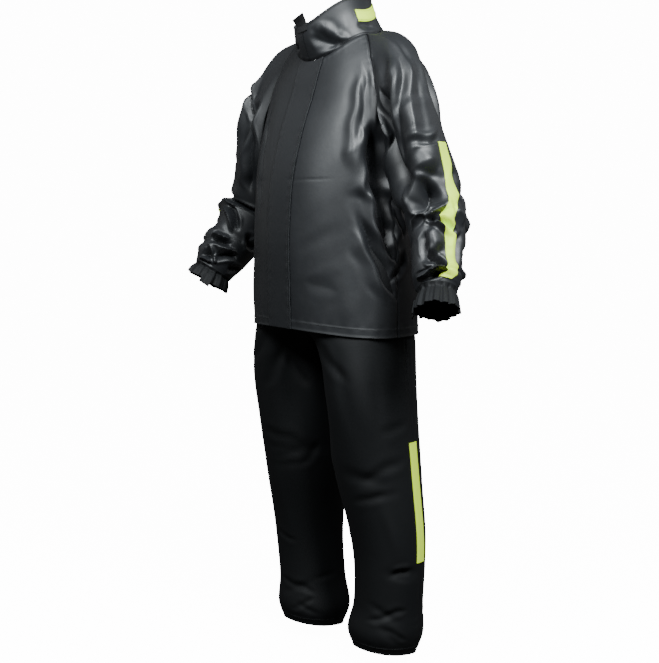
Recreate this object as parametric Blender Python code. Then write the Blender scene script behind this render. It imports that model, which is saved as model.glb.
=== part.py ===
"""A two-piece rain suit, worn and hollow: a raglan-sleeved jacket with a stand collar and a storm
flap, over straight trousers. The garment faces -Y, its left side is +X, and +Z is up. The origin
is the middle of the base of the neck, where the wearer's shoulders hold the jacket up."""

import math
from functools import partial

import bmesh
import bpy
import numpy as np

# Heights in the tables are measured from the floor that the wearer stands on, in metres.
ORIGIN_HEIGHT = 1.44
CLOTH = 0.002
TRIM = 0.0014
SEAM_GAP = 0.0003
LAID_GAP = 0.0006
FLAT = np.array([1.0, 1.0, 0.0])
UP = np.array([0.0, 0.0, 1.0])

# Jacket body, one row for each level ring. front, side and back are the ring's heights there,
# ahead and behind are its depths from middle, and tilt raises its left side over its right.
BODY_COLUMNS = (
    "front", "side", "back", "half_width", "ahead", "behind", "middle", "tilt", "square",
)
BODY_RINGS = {
    "hem": (0.815, 0.797, 0.790, 0.219, 0.174, 0.166, 0, 0, 2.15),
    "hip": (0.906, 0.902, 0.902, 0.218, 0.176, 0.166, 0, 0, 2.15),
    "waist": (1.030, 1.030, 1.030, 0.211, 0.178, 0.164, 0, 0, 2.15),
    "rib": (1.160, 1.155, 1.160, 0.206, 0.166, 0.162, 0, 0, 2.20),
    "underarm": (1.268, 1.262, 1.290, 0.204, 0.136, 0.155, 0, 0, 2.30),
    "chest": (1.345, 1.375, 1.385, 0.190, 0.106, 0.142, 0, 0, 2.30),
    "yoke": (1.392, 1.440, 1.462, 0.154, 0.091, 0.120, 0, 0, 2.20),
    "neck": (1.428, 1.487, 1.528, 0.112, 0.078, 0.098, 0, 0, 2.10),
}
COLLAR_RINGS = {
    "seam": (1.428, 1.487, 1.528, 0.112, 0.078, 0.098, 0, 0, 2.10),
    "low": (1.446, 1.505, 1.546, 0.101, 0.083, 0.094, -0.004, 0.003, 2.10),
    "high": (1.476, 1.528, 1.571, 0.090, 0.089, 0.090, -0.009, 0.012, 2.10),
    "top": (1.508, 1.550, 1.598, 0.087, 0.092, 0.090, -0.010, 0.022, 2.10),
}
UNDERARM_LEVEL = 4.0
NECK_LEVEL = 7.0

# Raglan seam: how far round the body it lies at each level, in degrees from centre front.
RAGLAN_LEVELS = (4.0, 5.0, 6.0, 7.0)
RAGLAN_FRONT = (90.0, 71.0, 75.0, 88.0)
RAGLAN_BACK = (90.0, 109.0, 113.0, 125.0)
# The share of a sleeve's turn that runs up the front, and again up the back, of that seam.
SEAM_SHARE = 0.43

# Sleeves, one row for each ring along the arm below the raglan seam. x is outwards.
ARM_COLUMNS = ("x", "y", "height", "wide", "deep")
LEFT_ARM = {
    "upper": (0.272, 0.004, 1.205, 0.075, 0.083),
    "above_elbow": (0.306, 0.008, 1.135, 0.070, 0.079),
    "elbow": (0.337, 0.004, 1.062, 0.064, 0.070),
    "forearm": (0.370, -0.026, 0.993, 0.054, 0.058),
    "above_wrist": (0.386, -0.040, 0.945, 0.053, 0.056),
    "wrist": (0.397, -0.050, 0.922, 0.043, 0.045),
}
RIGHT_ARM = {
    "upper": (0.276, 0.006, 1.205, 0.076, 0.084),
    "above_elbow": (0.306, 0.014, 1.135, 0.073, 0.080),
    "elbow": (0.339, 0.004, 1.063, 0.074, 0.079),
    "forearm": (0.356, -0.055, 0.985, 0.064, 0.067),
    "above_wrist": (0.361, -0.084, 0.950, 0.059, 0.061),
    "wrist": (0.367, -0.101, 0.922, 0.050, 0.052),
}
CAP_FULLNESS = 1.40
CAP_LENGTH = 0.20
UNDERARM_PUSH = 0.9
UNDERARM_SPREAD = 0.12
SHOULDER_PUSH = np.array([1.3, 0.0, 0.75])
SHOULDER_SPREAD = 0.20

# Trousers, one row for each ring of a leg and of the half of the seat above it. The ring's centre
# moves to the middle line above the crotch. lift raises the front of a ring over the foot.
LEG_COLUMNS = ("height", "x", "y", "half_width", "half_depth", "square", "lift")
LEG_RINGS = {
    "hem": (0.028, 0.135, 0.040, 0.071, 0.073, 2.3, 0.012),
    "instep": (0.075, 0.136, 0.043, 0.088, 0.088, 2.3, 0.006),
    "ankle": (0.145, 0.144, 0.044, 0.082, 0.082, 2.2, 0.0),
    "calf": (0.240, 0.151, 0.041, 0.083, 0.083, 2.2, 0.0),
    "shin": (0.330, 0.149, 0.034, 0.089, 0.089, 2.2, 0.0),
    "knee": (0.460, 0.137, 0.016, 0.100, 0.100, 2.2, 0.0),
    "thigh": (0.640, 0.125, -0.004, 0.106, 0.115, 2.2, 0.0),
    "crotch": (0.775, 0.1075, -0.006, 0.1045, 0.130, 2.2, 0.0),
    "seat": (0.840, 0.045, -0.004, 0.1665, 0.143, 2.15, 0.0),
    "hip": (0.905, 0.000, 0.000, 0.2140, 0.1560, 2.15, 0.0),
    "waist": (1.035, 0.000, 0.000, 0.190, 0.135, 2.1, 0.0),
}
CROTCH_LEVEL = 7.0
WAIST_LEVEL = 10.0

OUTSEAM_ANGLE = -16.0

FLAP_LEFT = 0.044
FLAP_RIGHT = 0.040
FLAP_LIFT = 0.0012
FLAP_CLEARANCE = 0.001

STRIP_HALF_WIDTH = 0.014
SLEEVE_STRIP_TOP = 1.0
SLEEVE_STRIP_END = 5.75
SLEEVE_STRIP_REACHES = (0.0, 1.0, 2.0, 2.5, 2.9, 3.25, 3.6, 4.1, 4.6, 5.1, 5.75, 6.0)
LEFT_STRIP_TURNS = (
    0.5, 0.525, 0.514, 0.508, 0.462, 0.416, 0.440, 0.474, 0.489, 0.474, 0.424, 0.420,
)
RIGHT_STRIP_TURNS = (
    0.5, 0.535, 0.515, 0.500, 0.476, 0.445, 0.448, 0.472, 0.484, 0.476, 0.448, 0.444,
)
LEG_STRIP_LOW = 3.1
LEG_STRIP_HIGH = 5.6
COLLAR_LEVELS = (0.0, 0.6, 1.28, 2.08, 2.55, 3.0)
COLLAR_STRIP_ENDS = (84.0, 276.0)

# The collar tab's rows above the collar's edge: how far up and how far out each lies.
TAB_RISE = ((0.010, 0.003), (0.024, 0.010))
TAB_TAPER = (1.0, 0.95, 0.85, 0.7)

# Elastic waistband: how far up each row lies, how far its ring draws in, and its gathers' depth.
WAISTBAND_GATHERS = 24
WAISTBAND_COLUMNS = ("along", "radius", "ruck")
WAISTBAND_RINGS = {
    "seam": (0.0, 1.00, 0.0),
    "low": (0.006, 0.99, 0.003),
    "top": (0.036, 0.97, 0.004),
}

# Cuffs: how far beyond the sleeve each ring lies, its size against the sleeve's last ring, how
# deep its gathers are, and how far it has leaned the cuff's way. The right one is pushed back.
CUFF_GATHERS = 14
CUFF_COLUMNS = ("along", "radius", "ruck", "lean")
CUFF_RINGS = {
    "seam": (0.0, 1.00, 0.0, 0.0),
    "elastic": (0.008, 0.95, 0.0016, 0.0),
    "frill": (0.024, 1.04, 0.0026, 0.45),
    "edge": (0.042, 1.09, 0.0034, 1.0),
}
LEFT_CUFF_LENGTH = 1.25
RIGHT_CUFF_LENGTH = 0.80
LEFT_CUFF_LEAN = np.array([0.012, -0.014, 0.004])
RIGHT_CUFF_LEAN = np.array([-0.004, -0.002, 0.000])
CUFF_TAB_TURN = 0.10
CUFF_TAB_HALF_TURN = 0.035
CUFF_TAB_HANG = 0.014

# Folds: where the middle lies, which way it runs (0 is along the garment), and its size. A
# positive depth stands out and a negative one sinks in. Folds fade out over these shares of a
# level at the neck, at a sleeve's two ends and at the waist, and over this width at the middle.
NECK_FADE = 0.6
CAP_FADE = 0.3
WRIST_FADE = 0.6
WAIST_FADE = 1.0
MIDDLE_FADE = 0.03
FOLD_COLUMNS = ("angle", "place", "lean", "length", "width", "depth")
BODY_RADIUS = 0.19
BODY_FOLDS = {
    "left_chest_valley": (64, 1.24, 0, 0.46, 0.016, -0.007),
    "left_side_hollow": (83, 1.17, -6, 0.32, 0.034, -0.016),
    "left_front_ridge": (52, 1.20, 4, 0.44, 0.024, 0.005),
    "left_hip_drag": (70, 1.01, -23, 0.22, 0.020, -0.008),
    "right_chest_valley": (-66, 1.22, 0, 0.44, 0.018, -0.007),
    "right_side_hollow": (-84, 1.16, 8, 0.30, 0.030, -0.012),
    "right_hip_drag": (-68, 1.01, 20, 0.20, 0.020, -0.006),
    "back_left_drape": (148, 1.20, -4, 0.50, 0.026, -0.007),
    "back_right_drape": (207, 1.16, 5, 0.56, 0.028, -0.007),
    "back_middle_drape": (176, 1.02, 3, 0.36, 0.022, -0.005),
}
ARM_RADIUS = 0.075
LEFT_ARM_FOLDS = {
    "armhole_valley": (112, 0.12, 0, 0.22, 0.018, -0.013),
    "cap_ridge": (132, 0.14, 0, 0.26, 0.016, 0.006),
    "cap_valley": (152, 0.13, 4, 0.20, 0.016, -0.008),
    "elbow_hollow": (138, 0.285, 70, 0.20, 0.026, -0.012),
    "elbow_roll": (118, 0.345, 60, 0.18, 0.018, 0.008),
    "forearm_hollow": (135, 0.455, 80, 0.16, 0.014, -0.008),
    "inner_elbow": (20, 0.32, 90, 0.20, 0.016, -0.008),
    "back_cap_valley": (232, 0.15, 0, 0.22, 0.018, -0.008),
    "back_elbow_drape": (250, 0.33, 30, 0.24, 0.022, -0.006),
}
RIGHT_ARM_FOLDS = {
    "armhole_valley": (108, 0.13, 0, 0.22, 0.018, -0.010),
    "cap_valley": (150, 0.14, 0, 0.20, 0.018, -0.007),
    "elbow_fold": (128, 0.335, 78, 0.26, 0.014, -0.014),
    "elbow_bulge": (135, 0.372, 80, 0.24, 0.018, 0.012),
    "forearm_hollow": (120, 0.43, 82, 0.20, 0.012, -0.007),
    "forearm_roll": (110, 0.465, 80, 0.18, 0.012, 0.005),
    "inner_elbow": (20, 0.34, 90, 0.20, 0.016, -0.008),
    "back_cap_valley": (235, 0.15, 0, 0.22, 0.018, -0.008),
    "back_elbow_drape": (245, 0.34, 25, 0.24, 0.022, -0.006),
}
LEG_RADIUS = 0.10
LEFT_LEG_FOLDS = {
    "inner_slack": (132, 0.70, 0, 0.44, 0.045, -0.022),
    "front_ridge": (48, 0.68, 0, 0.26, 0.022, 0.005),
    "knee_crease": (60, 0.47, 82, 0.16, 0.014, -0.005),
    "shin_crease": (20, 0.238, 86, 0.13, 0.012, -0.005),
    "back_knee_crease": (-100, 0.49, 88, 0.20, 0.016, -0.007),
    "seat_fold": (-110, 0.74, 62, 0.18, 0.016, -0.006),
}
RIGHT_LEG_FOLDS = {
    "inner_slack": (132, 0.70, 0, 0.44, 0.045, -0.022),
    "front_ridge": (60, 0.70, 0, 0.28, 0.024, 0.004),
    "knee_crease": (130, 0.50, 90, 0.20, 0.014, -0.006),
    "back_knee_crease": (-95, 0.50, 84, 0.20, 0.016, -0.007),
    "calf_crease": (-60, 0.27, 80, 0.14, 0.012, -0.004),
    "seat_fold": (-112, 0.73, 58, 0.18, 0.016, -0.006),
}

# How the grids are divided.
LOW_ROWS = 13
SEAM_ROWS = 11
OVER_COLUMNS = 3
FRONT_COLUMNS = 7
BACK_COLUMNS = 15
CAP_ROWS = 8
ARM_STEP = 0.25
LEG_ROWS = 18
SEAT_ROWS = 9
SEAT_CROWDING = 1.5
PANEL_COLUMNS = 9
CUFF_COLUMNS_A_GATHER = 4

# Steps for working out slopes: round a tube in degrees, round a sleeve in turns, and in levels.
ANGLE_STEP = 1.5
TURN_STEP = 0.01
LEVEL_STEP = 0.03
SHARP_ANGLE = 50.0
SMALL = 1e-6


def columns(table, names, level):
    """Each named column of a table at fractional row numbers, on a smooth curve through the rows."""
    rows = np.array(list(table.values()), float)
    slopes = np.gradient(rows, axis=0)
    level = np.clip(np.asarray(level, float), 0, len(rows) - 1)
    low = np.minimum(level.astype(int), len(rows) - 2)
    t = (level - low)[..., None]
    value = (
        (1 + 2 * t) * (1 - t) ** 2 * rows[low]
        + t * (1 - t) ** 2 * slopes[low]
        + t * t * (3 - 2 * t) * rows[low + 1]
        + t * t * (t - 1) * slopes[low + 1]
    )
    return {name: value[..., i] for i, name in enumerate(names)}


def unit(vectors):
    """Vectors made one metre long."""
    return vectors / np.maximum(np.linalg.norm(vectors, axis=-1, keepdims=True), 1e-12)


def power(value, exponent):
    """A signed power, which squares a circle's sine and cosine into a fuller ring."""
    return np.sign(value) * np.abs(value) ** exponent


def smooth_step(value):
    """0 below 0, 1 above 1, and smooth between."""
    value = np.clip(value, 0, 1)
    return value * value * (3 - 2 * value)


def slopes_of(surface, u, v, du, dv):
    """The two tangents of a surface, by central differences."""
    return surface(u + du, v) - surface(u - du, v), surface(u, v + dv) - surface(u, v - dv)


def fold_depth(folds, angle, place, radius):
    """How far the folds move the cloth out, at an angle round and a place along a tube."""
    total = np.zeros(np.broadcast(angle, place).shape)
    for row in folds.values():
        fold = dict(zip(FOLD_COLUMNS, row))
        around = radius * np.radians((angle - fold["angle"] + 180) % 360 - 180)
        up = place - fold["place"]
        lean = math.radians(fold["lean"])
        along = up * math.cos(lean) + around * math.sin(lean)
        across = around * math.cos(lean) - up * math.sin(lean)
        taper = np.clip(1 - (2 * along / fold["length"]) ** 2, 0, None) ** 2
        total = total + fold["depth"] * np.exp(-((across / fold["width"]) ** 2)) * taper
    return total


def ring_point(table, angle, level):
    """A point of the body or the collar, at an angle in degrees from the front towards the left."""
    ring = columns(table, BODY_COLUMNS, level)
    sine, cosine = np.sin(np.radians(angle)), np.cos(np.radians(angle))
    rounding = 2 / ring["square"]
    depth = np.where(cosine > 0, ring["ahead"], ring["behind"])
    height = (
        ring["side"]
        + (ring["front"] - ring["side"]) * np.maximum(cosine, 0) ** 2
        + (ring["back"] - ring["side"]) * np.maximum(-cosine, 0) ** 2
        + ring["tilt"] * sine
    )
    x = ring["half_width"] * power(sine, rounding)
    y = ring["middle"] - depth * power(cosine, rounding)
    return np.stack([x, y, height - ORIGIN_HEIGHT], -1)


def plain_body(angle, level):
    """The jacket body with no folds."""
    return ring_point(BODY_RINGS, angle, level)


def body(angle, level):
    """The jacket body's outer face."""
    angle, level = np.broadcast_arrays(np.asarray(angle, float), np.asarray(level, float))
    point = plain_body(angle, level)
    around, upward = slopes_of(plain_body, angle, level, ANGLE_STEP, LEVEL_STEP)
    outward = unit(np.cross(around, upward))
    depth = fold_depth(BODY_FOLDS, angle, point[..., 2] + ORIGIN_HEIGHT, BODY_RADIUS)
    depth = depth * smooth_step((NECK_LEVEL - level) / NECK_FADE)
    return point + outward * depth[..., None]


def body_normal(angle, level):
    """The outward direction of the jacket body."""
    around, upward = slopes_of(body, np.asarray(angle), np.asarray(level), ANGLE_STEP, LEVEL_STEP)
    return unit(np.cross(around, upward))


def collar(angle, level):
    """The collar's outer face. Level 0 is the neck seam."""
    return ring_point(COLLAR_RINGS, angle, level)


def collar_normal(angle, level):
    """The outward direction of the collar."""
    around, upward = slopes_of(collar, np.asarray(angle), np.asarray(level), ANGLE_STEP, LEVEL_STEP)
    return unit(np.cross(around, upward))


def neck_mitre(angle):
    """The direction that halves the corner between body and collar, along the neck seam."""
    return unit(body_normal(angle, NECK_LEVEL) + collar_normal(angle, 0.0))


# A sleeve is worked out as a left one and mirrored. turn runs from 0 at the underarm, forwards
# over the shoulder at 0.5, and back to 1. reach is 0 at the raglan seam and 1 at the upper ring.
def armhole_place(turn):
    """Angle and level on the body of the raglan seam, and of the piece of neck seam above it."""
    turn = np.asarray(turn, float) % 1.0
    front = turn < SEAM_SHARE
    back = turn > 1 - SEAM_SHARE
    share = np.where(front, turn, np.where(back, 1 - turn, SEAM_SHARE)) / SEAM_SHARE
    level = UNDERARM_LEVEL + (NECK_LEVEL - UNDERARM_LEVEL) * share
    ahead = np.interp(level, RAGLAN_LEVELS, RAGLAN_FRONT)
    behind = np.interp(level, RAGLAN_LEVELS, RAGLAN_BACK)
    over = (turn - SEAM_SHARE) / (1 - 2 * SEAM_SHARE)
    angle = np.where(front, ahead, np.where(back, behind, ahead + (behind - ahead) * over))
    return angle, level


def mirrored(points):
    """The same points on the other side."""
    return points * np.array([-1.0, 1.0, 1.0])


def armhole(side, turn):
    """The raglan seam's points and the body's outward direction there, as if on the left."""
    angle, level = armhole_place(turn)
    point, outward = body(side * angle, level), body_normal(side * angle, level)
    return (point, outward) if side > 0 else (mirrored(point), mirrored(outward))


def arm_frame(arm, level):
    """Centre, direction, outward and forward axes, and half sizes of the arm's rings."""
    ring = columns(arm, ARM_COLUMNS, level)
    ahead = columns(arm, ARM_COLUMNS, np.asarray(level) + 0.05)
    behind = columns(arm, ARM_COLUMNS, np.asarray(level) - 0.05)
    centre, later, earlier = (
        np.stack([r["x"], r["y"], r["height"] - ORIGIN_HEIGHT], -1) for r in (ring, ahead, behind)
    )
    along = unit(later - earlier)
    outward = np.array([1.0, 0.0, 0.0])
    outward = unit(outward - along * (along @ outward)[..., None])
    forward = np.cross(along, outward)
    return centre, along, outward, forward, ring["wide"], ring["deep"]


def arm_ring(arm, turn, level):
    """A point of the sleeve below its upper ring, with no folds."""
    centre, _, outward, forward, wide, deep = arm_frame(arm, level)
    angle = 2 * math.pi * np.asarray(turn)
    return (
        centre
        - outward * (wide * np.cos(angle))[..., None]
        + forward * (deep * np.sin(angle))[..., None]
    )


def plain_sleeve(side, turn, reach):
    """A sleeve with no folds: a cap from the raglan seam to the upper ring, then the arm's rings."""
    arm = LEFT_ARM if side > 0 else RIGHT_ARM
    turn, reach = np.broadcast_arrays(np.asarray(turn, float), np.asarray(reach, float))
    start, outward = armhole(side, turn)
    end = arm_ring(arm, turn, np.zeros(turn.shape))
    along = arm_frame(arm, np.zeros(turn.shape))[1]
    chord = end - start
    length = np.linalg.norm(chord, axis=-1, keepdims=True)
    leaving = unit(chord - outward * (chord * outward).sum(-1, keepdims=True))
    under = np.exp(-((((turn + 0.5) % 1.0 - 0.5) / UNDERARM_SPREAD) ** 2))[..., None]
    over = np.exp(-(((turn - 0.5) / SHOULDER_SPREAD) ** 2))[..., None]
    leaving = unit(leaving + outward * UNDERARM_PUSH * under + SHOULDER_PUSH * over)
    leaving = leaving * length * CAP_FULLNESS
    arriving = along * length * CAP_FULLNESS
    t = np.clip(reach, 0, 1)[..., None]
    cap = (
        (1 + 2 * t) * (1 - t) ** 2 * start
        + t * (1 - t) ** 2 * leaving
        + t * t * (3 - 2 * t) * end
        + t * t * (t - 1) * arriving
    )
    below = arm_ring(arm, turn, np.maximum(reach - 1, 0))
    return np.where((reach < 1)[..., None], cap, below)


def sleeve_length(side, reach):
    """Metres along the sleeve from the raglan seam, for placing folds."""
    arm = LEFT_ARM if side > 0 else RIGHT_ARM
    rows = np.array([row[:3] for row in arm.values()])
    steps = np.linalg.norm(np.diff(rows, axis=0), axis=1)
    marks = np.concatenate([[0.0, CAP_LENGTH], CAP_LENGTH + np.cumsum(steps)])
    return np.interp(reach, np.arange(len(marks)), marks)


def sleeve(side, turn, reach):
    """A sleeve's outer face, as if on the left."""
    turn, reach = np.broadcast_arrays(np.asarray(turn, float), np.asarray(reach, float))
    folds = LEFT_ARM_FOLDS if side > 0 else RIGHT_ARM_FOLDS
    last = float(len(LEFT_ARM))
    point = plain_sleeve(side, turn, reach)
    around, down = slopes_of(partial(plain_sleeve, side), turn, reach, TURN_STEP, LEVEL_STEP)
    outward = unit(np.cross(down, around))
    depth = fold_depth(folds, turn * 360, sleeve_length(side, reach), ARM_RADIUS)
    depth = depth * smooth_step(reach / CAP_FADE) * smooth_step((last - reach) / WRIST_FADE)
    return point + outward * depth[..., None]


def sleeve_normal(side, turn, reach):
    """The outward direction of a sleeve, as if on the left."""
    turn, reach = np.broadcast_arrays(np.asarray(turn, float), np.asarray(reach, float))
    around, down = slopes_of(partial(sleeve, side), turn, reach, TURN_STEP, LEVEL_STEP)
    return unit(np.cross(down, around))


def raglan_mitre(side, turn):
    """The direction that halves the corner between body and sleeve, as if on the left."""
    angle, level = armhole_place(turn)
    _, outward = armhole(side, turn)
    mitre = unit(outward + sleeve_normal(side, turn, np.zeros(np.shape(turn))))
    at_neck = neck_mitre(side * angle)
    at_neck = at_neck if side > 0 else mirrored(at_neck)
    return np.where((level > NECK_LEVEL - SMALL)[..., None], at_neck, mitre)


def leg_inner_angle(level):
    """Where a leg's ring meets the inseam or, above the crotch, the middle line, in degrees."""
    ring = columns(LEG_RINGS, LEG_COLUMNS, level)
    share = np.clip(np.maximum(ring["x"], 0) / ring["half_width"], 0, 1) ** (ring["square"] / 2)
    angle = 180 - np.degrees(np.arccos(share))
    return np.where(np.asarray(level) <= CROTCH_LEVEL + SMALL, 180.0, angle)


def plain_leg(angle, level):
    """A left leg with no folds. 0 degrees is the outseam, 90 the front and 180 the inseam."""
    angle, level = np.broadcast_arrays(np.asarray(angle, float), np.asarray(level, float))
    ring = columns(LEG_RINGS, LEG_COLUMNS, level)
    sine, cosine = np.sin(np.radians(angle)), np.cos(np.radians(angle))
    rounding = 2 / ring["square"]
    x = np.maximum(ring["x"], 0) + ring["half_width"] * power(cosine, rounding)
    y = ring["y"] - ring["half_depth"] * power(sine, rounding)
    z = ring["height"] + ring["lift"] * sine - ORIGIN_HEIGHT
    return np.stack([x, y, z], -1)


def leg(side, angle, level):
    """A leg's outer face, as if on the left."""
    angle, level = np.broadcast_arrays(np.asarray(angle, float), np.asarray(level, float))
    folds = LEFT_LEG_FOLDS if side > 0 else RIGHT_LEG_FOLDS
    point = plain_leg(angle, level)
    around, upward = slopes_of(plain_leg, angle, level, ANGLE_STEP, LEVEL_STEP)
    outward = unit(np.cross(upward, around))
    depth = fold_depth(folds, angle, point[..., 2] + ORIGIN_HEIGHT, LEG_RADIUS)
    depth = depth * smooth_step((WAIST_LEVEL - level) / WAIST_FADE)
    depth = depth * smooth_step(point[..., 0] / MIDDLE_FADE)
    return point + outward * depth[..., None]


def leg_normal(side, angle, level):
    """The outward direction of a leg, as if on the left."""
    angle, level = np.broadcast_arrays(np.asarray(angle, float), np.asarray(level, float))
    around, upward = slopes_of(partial(leg, side), angle, level, ANGLE_STEP, LEVEL_STEP)
    outward = unit(np.cross(upward, around))
    inner = np.abs(np.abs(angle) - leg_inner_angle(level)) < SMALL
    at_middle = inner & (level > CROTCH_LEVEL - SMALL)
    upright = unit(outward * np.array([0.0, 1.0, 1.0]))
    upright = np.where((level < CROTCH_LEVEL + SMALL)[..., None], -UP, upright)
    return np.where(at_middle[..., None], upright, outward)


def pull_back(outer, outward, end, axis, gap=SEAM_GAP / 2):
    """Moves one edge of a grid back along the cloth, to leave half of the gap of a seam."""
    edge = [slice(None)] * 2
    edge[axis] = end
    edge = tuple(edge)
    near = list(edge)
    near[axis] = 1 if end == 0 else -2
    line, normal = outer[edge], outward[edge]
    seam = unit(np.gradient(line, axis=0))
    inside = outer[tuple(near)] - line
    for direction in (normal, seam):
        inside = inside - direction * (inside * direction).sum(-1, keepdims=True)
    moved = outer.copy()
    moved[edge] = line + unit(inside) * gap
    return moved


def add_piece(name, outer, outward, material, thickness=CLOTH, closed=False):
    """One piece of cloth as a closed solid: a grid of outer points, and the same points further in."""
    rows, across = outer.shape[:2]
    inner = outer - outward * thickness
    points = np.concatenate([outer.reshape(-1, 3), inner.reshape(-1, 3)])
    layer = rows * across

    def corner(row, column, depth=0):
        return depth * layer + row * across + column % across

    faces = []
    for row in range(rows - 1):
        for column in range(across if closed else across - 1):
            a, b = corner(row, column), corner(row, column + 1)
            c, d = corner(row + 1, column + 1), corner(row + 1, column)
            faces += [(a, b, c), (a, c, d)]
            faces += [(c + layer, b + layer, a + layer), (d + layer, c + layer, a + layer)]
    rims = [[corner(row, column) for column in range(across + closed)] for row in (0, rows - 1)]
    if not closed:
        rims += [[corner(row, column) for row in range(rows)] for column in (0, across - 1)]
    for rim in rims:
        for a, b in zip(rim, rim[1:]):
            faces += [(a, b, b + layer), (a, b + layer, a + layer)]
    mesh = bpy.data.meshes.new(name)
    mesh.from_pydata(points.tolist(), [], faces)
    shaped = bmesh.new()
    shaped.from_mesh(mesh)
    bmesh.ops.recalc_face_normals(shaped, faces=shaped.faces)
    shaped.to_mesh(mesh)
    shaped.free()
    mesh.materials.append(material)
    mesh.shade_smooth()
    mesh.set_sharp_from_angle(angle=math.radians(SHARP_ANGLE))
    piece = bpy.data.objects.new(name, mesh)
    bpy.context.scene.collection.objects.link(piece)
    return piece


def make_material(name, colour, roughness):
    """A plain cloth or tape finish."""
    material = bpy.data.materials.new(name)
    material.use_nodes = True
    shader = material.node_tree.nodes["Principled BSDF"]
    shader.inputs["Base Color"].default_value = (*colour, 1.0)
    shader.inputs["Roughness"].default_value = roughness
    shader.inputs["Metallic"].default_value = 0.0
    return material


def seam_turns():
    """Where a sleeve's columns lie, so that its edge and the body's share their points."""
    front = np.linspace(0, SEAM_SHARE, SEAM_ROWS)
    over = np.linspace(SEAM_SHARE, 1 - SEAM_SHARE, OVER_COLUMNS + 2)[1:-1]
    return np.concatenate([front, over, (1 - front)[:0:-1]])


def body_levels():
    """Where the body's rows lie: even ones to the underarm, then one for each seam point."""
    low = np.linspace(0, UNDERARM_LEVEL, LOW_ROWS)
    high = armhole_place(np.linspace(0, SEAM_SHARE, SEAM_ROWS))[1]
    return np.concatenate([low, high[1:]])


def flap_angle(level, width):
    """The angle at which the body is a given distance from its middle line."""
    ring = columns(BODY_RINGS, BODY_COLUMNS, level)
    share = (width / ring["half_width"]) ** (ring["square"] / 2)
    return np.degrees(np.arcsin(share))


def front_angles(level, side):
    """The angles of one row of a front panel. The storm flap's edge is its third column."""
    flap = flap_angle(level, FLAP_LEFT if side > 0 else FLAP_RIGHT)
    edge = np.interp(level, RAGLAN_LEVELS, RAGLAN_FRONT)
    outer = np.linspace(flap, edge, FRONT_COLUMNS)[1:]
    return side * np.concatenate([[0, flap / 2, flap], outer])


def flap_angles(level):
    """The angles of one row of the storm flap, from right to left."""
    return np.concatenate([front_angles(level, -1)[2:0:-1], front_angles(level, 1)[:3]])


def back_angles(level):
    """The angles of one row of the back panel, from the left seam to the right one."""
    edge = np.interp(level, RAGLAN_LEVELS, RAGLAN_BACK)
    return np.linspace(edge, 360 - edge, BACK_COLUMNS)


def body_grid(angles_at):
    """The points and outward directions of a piece that lies on the body."""
    levels = body_levels()
    angle = np.array([angles_at(level) for level in levels])
    level = np.repeat(levels[:, None], angle.shape[1], axis=1)
    outer, outward = body(angle, level), body_normal(angle, level)
    outward[-1] = neck_mitre(angle[-1])
    return outer, outward


def mitre_to_sleeve(outward, side, column, turns):
    """Gives a panel's edge above the underarm the direction that its sleeve has there."""
    mitre = raglan_mitre(side, turns)
    outward[-SEAM_ROWS:, column] = mitre if side > 0 else mirrored(mitre)


def make_jacket_body(cloth):
    """Two fronts and a back."""
    front_turns = np.linspace(0, SEAM_SHARE, SEAM_ROWS)
    back_turns = (1 - front_turns) % 1.0
    for side, name in ((1, "jacket_front_left"), (-1, "jacket_front_right")):
        outer, outward = body_grid(lambda level, side=side: front_angles(level, side))
        mitre_to_sleeve(outward, side, -1, front_turns)
        for end, axis in ((0, 1), (-1, 1), (-1, 0)):
            outer = pull_back(outer, outward, end, axis)
        add_piece(name, outer, outward, cloth)
    outer, outward = body_grid(back_angles)
    mitre_to_sleeve(outward, 1, 0, back_turns)
    mitre_to_sleeve(outward, -1, -1, back_turns)
    for end, axis in ((0, 1), (-1, 1), (-1, 0)):
        outer = pull_back(outer, outward, end, axis)
    add_piece("jacket_back", outer, outward, cloth)


def make_storm_flap(cloth):
    """The flap over the front opening, laid on both fronts, its left edge a little lifted."""
    outer, outward = body_grid(flap_angles)
    lift = np.full(outer.shape[:2], CLOTH + LAID_GAP)
    lift[:, -1] += FLAP_LIFT
    outer = outer + outward * lift[..., None]
    outer = pull_back(outer, outward, -1, 0, FLAP_CLEARANCE)
    add_piece("storm_flap", outer, outward, cloth)


def neck_angles():
    """The angles of the neck seam's points, all the way round from the front opening."""
    left = front_angles(NECK_LEVEL, 1)
    over = armhole_place(seam_turns()[SEAM_ROWS : SEAM_ROWS + OVER_COLUMNS])[0]
    back = back_angles(NECK_LEVEL)
    right = front_angles(NECK_LEVEL, -1)
    return np.concatenate([left, over, back, 360 - over[::-1], 360 + right[::-1]])


def collar_grid():
    """The collar's points and outward directions, before its ends are pulled back."""
    level, angle = np.meshgrid(COLLAR_LEVELS, neck_angles(), indexing="ij")
    outer, outward = collar(angle, level), collar_normal(angle, level)
    outward[0] = neck_mitre(angle[0])
    return angle, outer, outward


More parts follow.
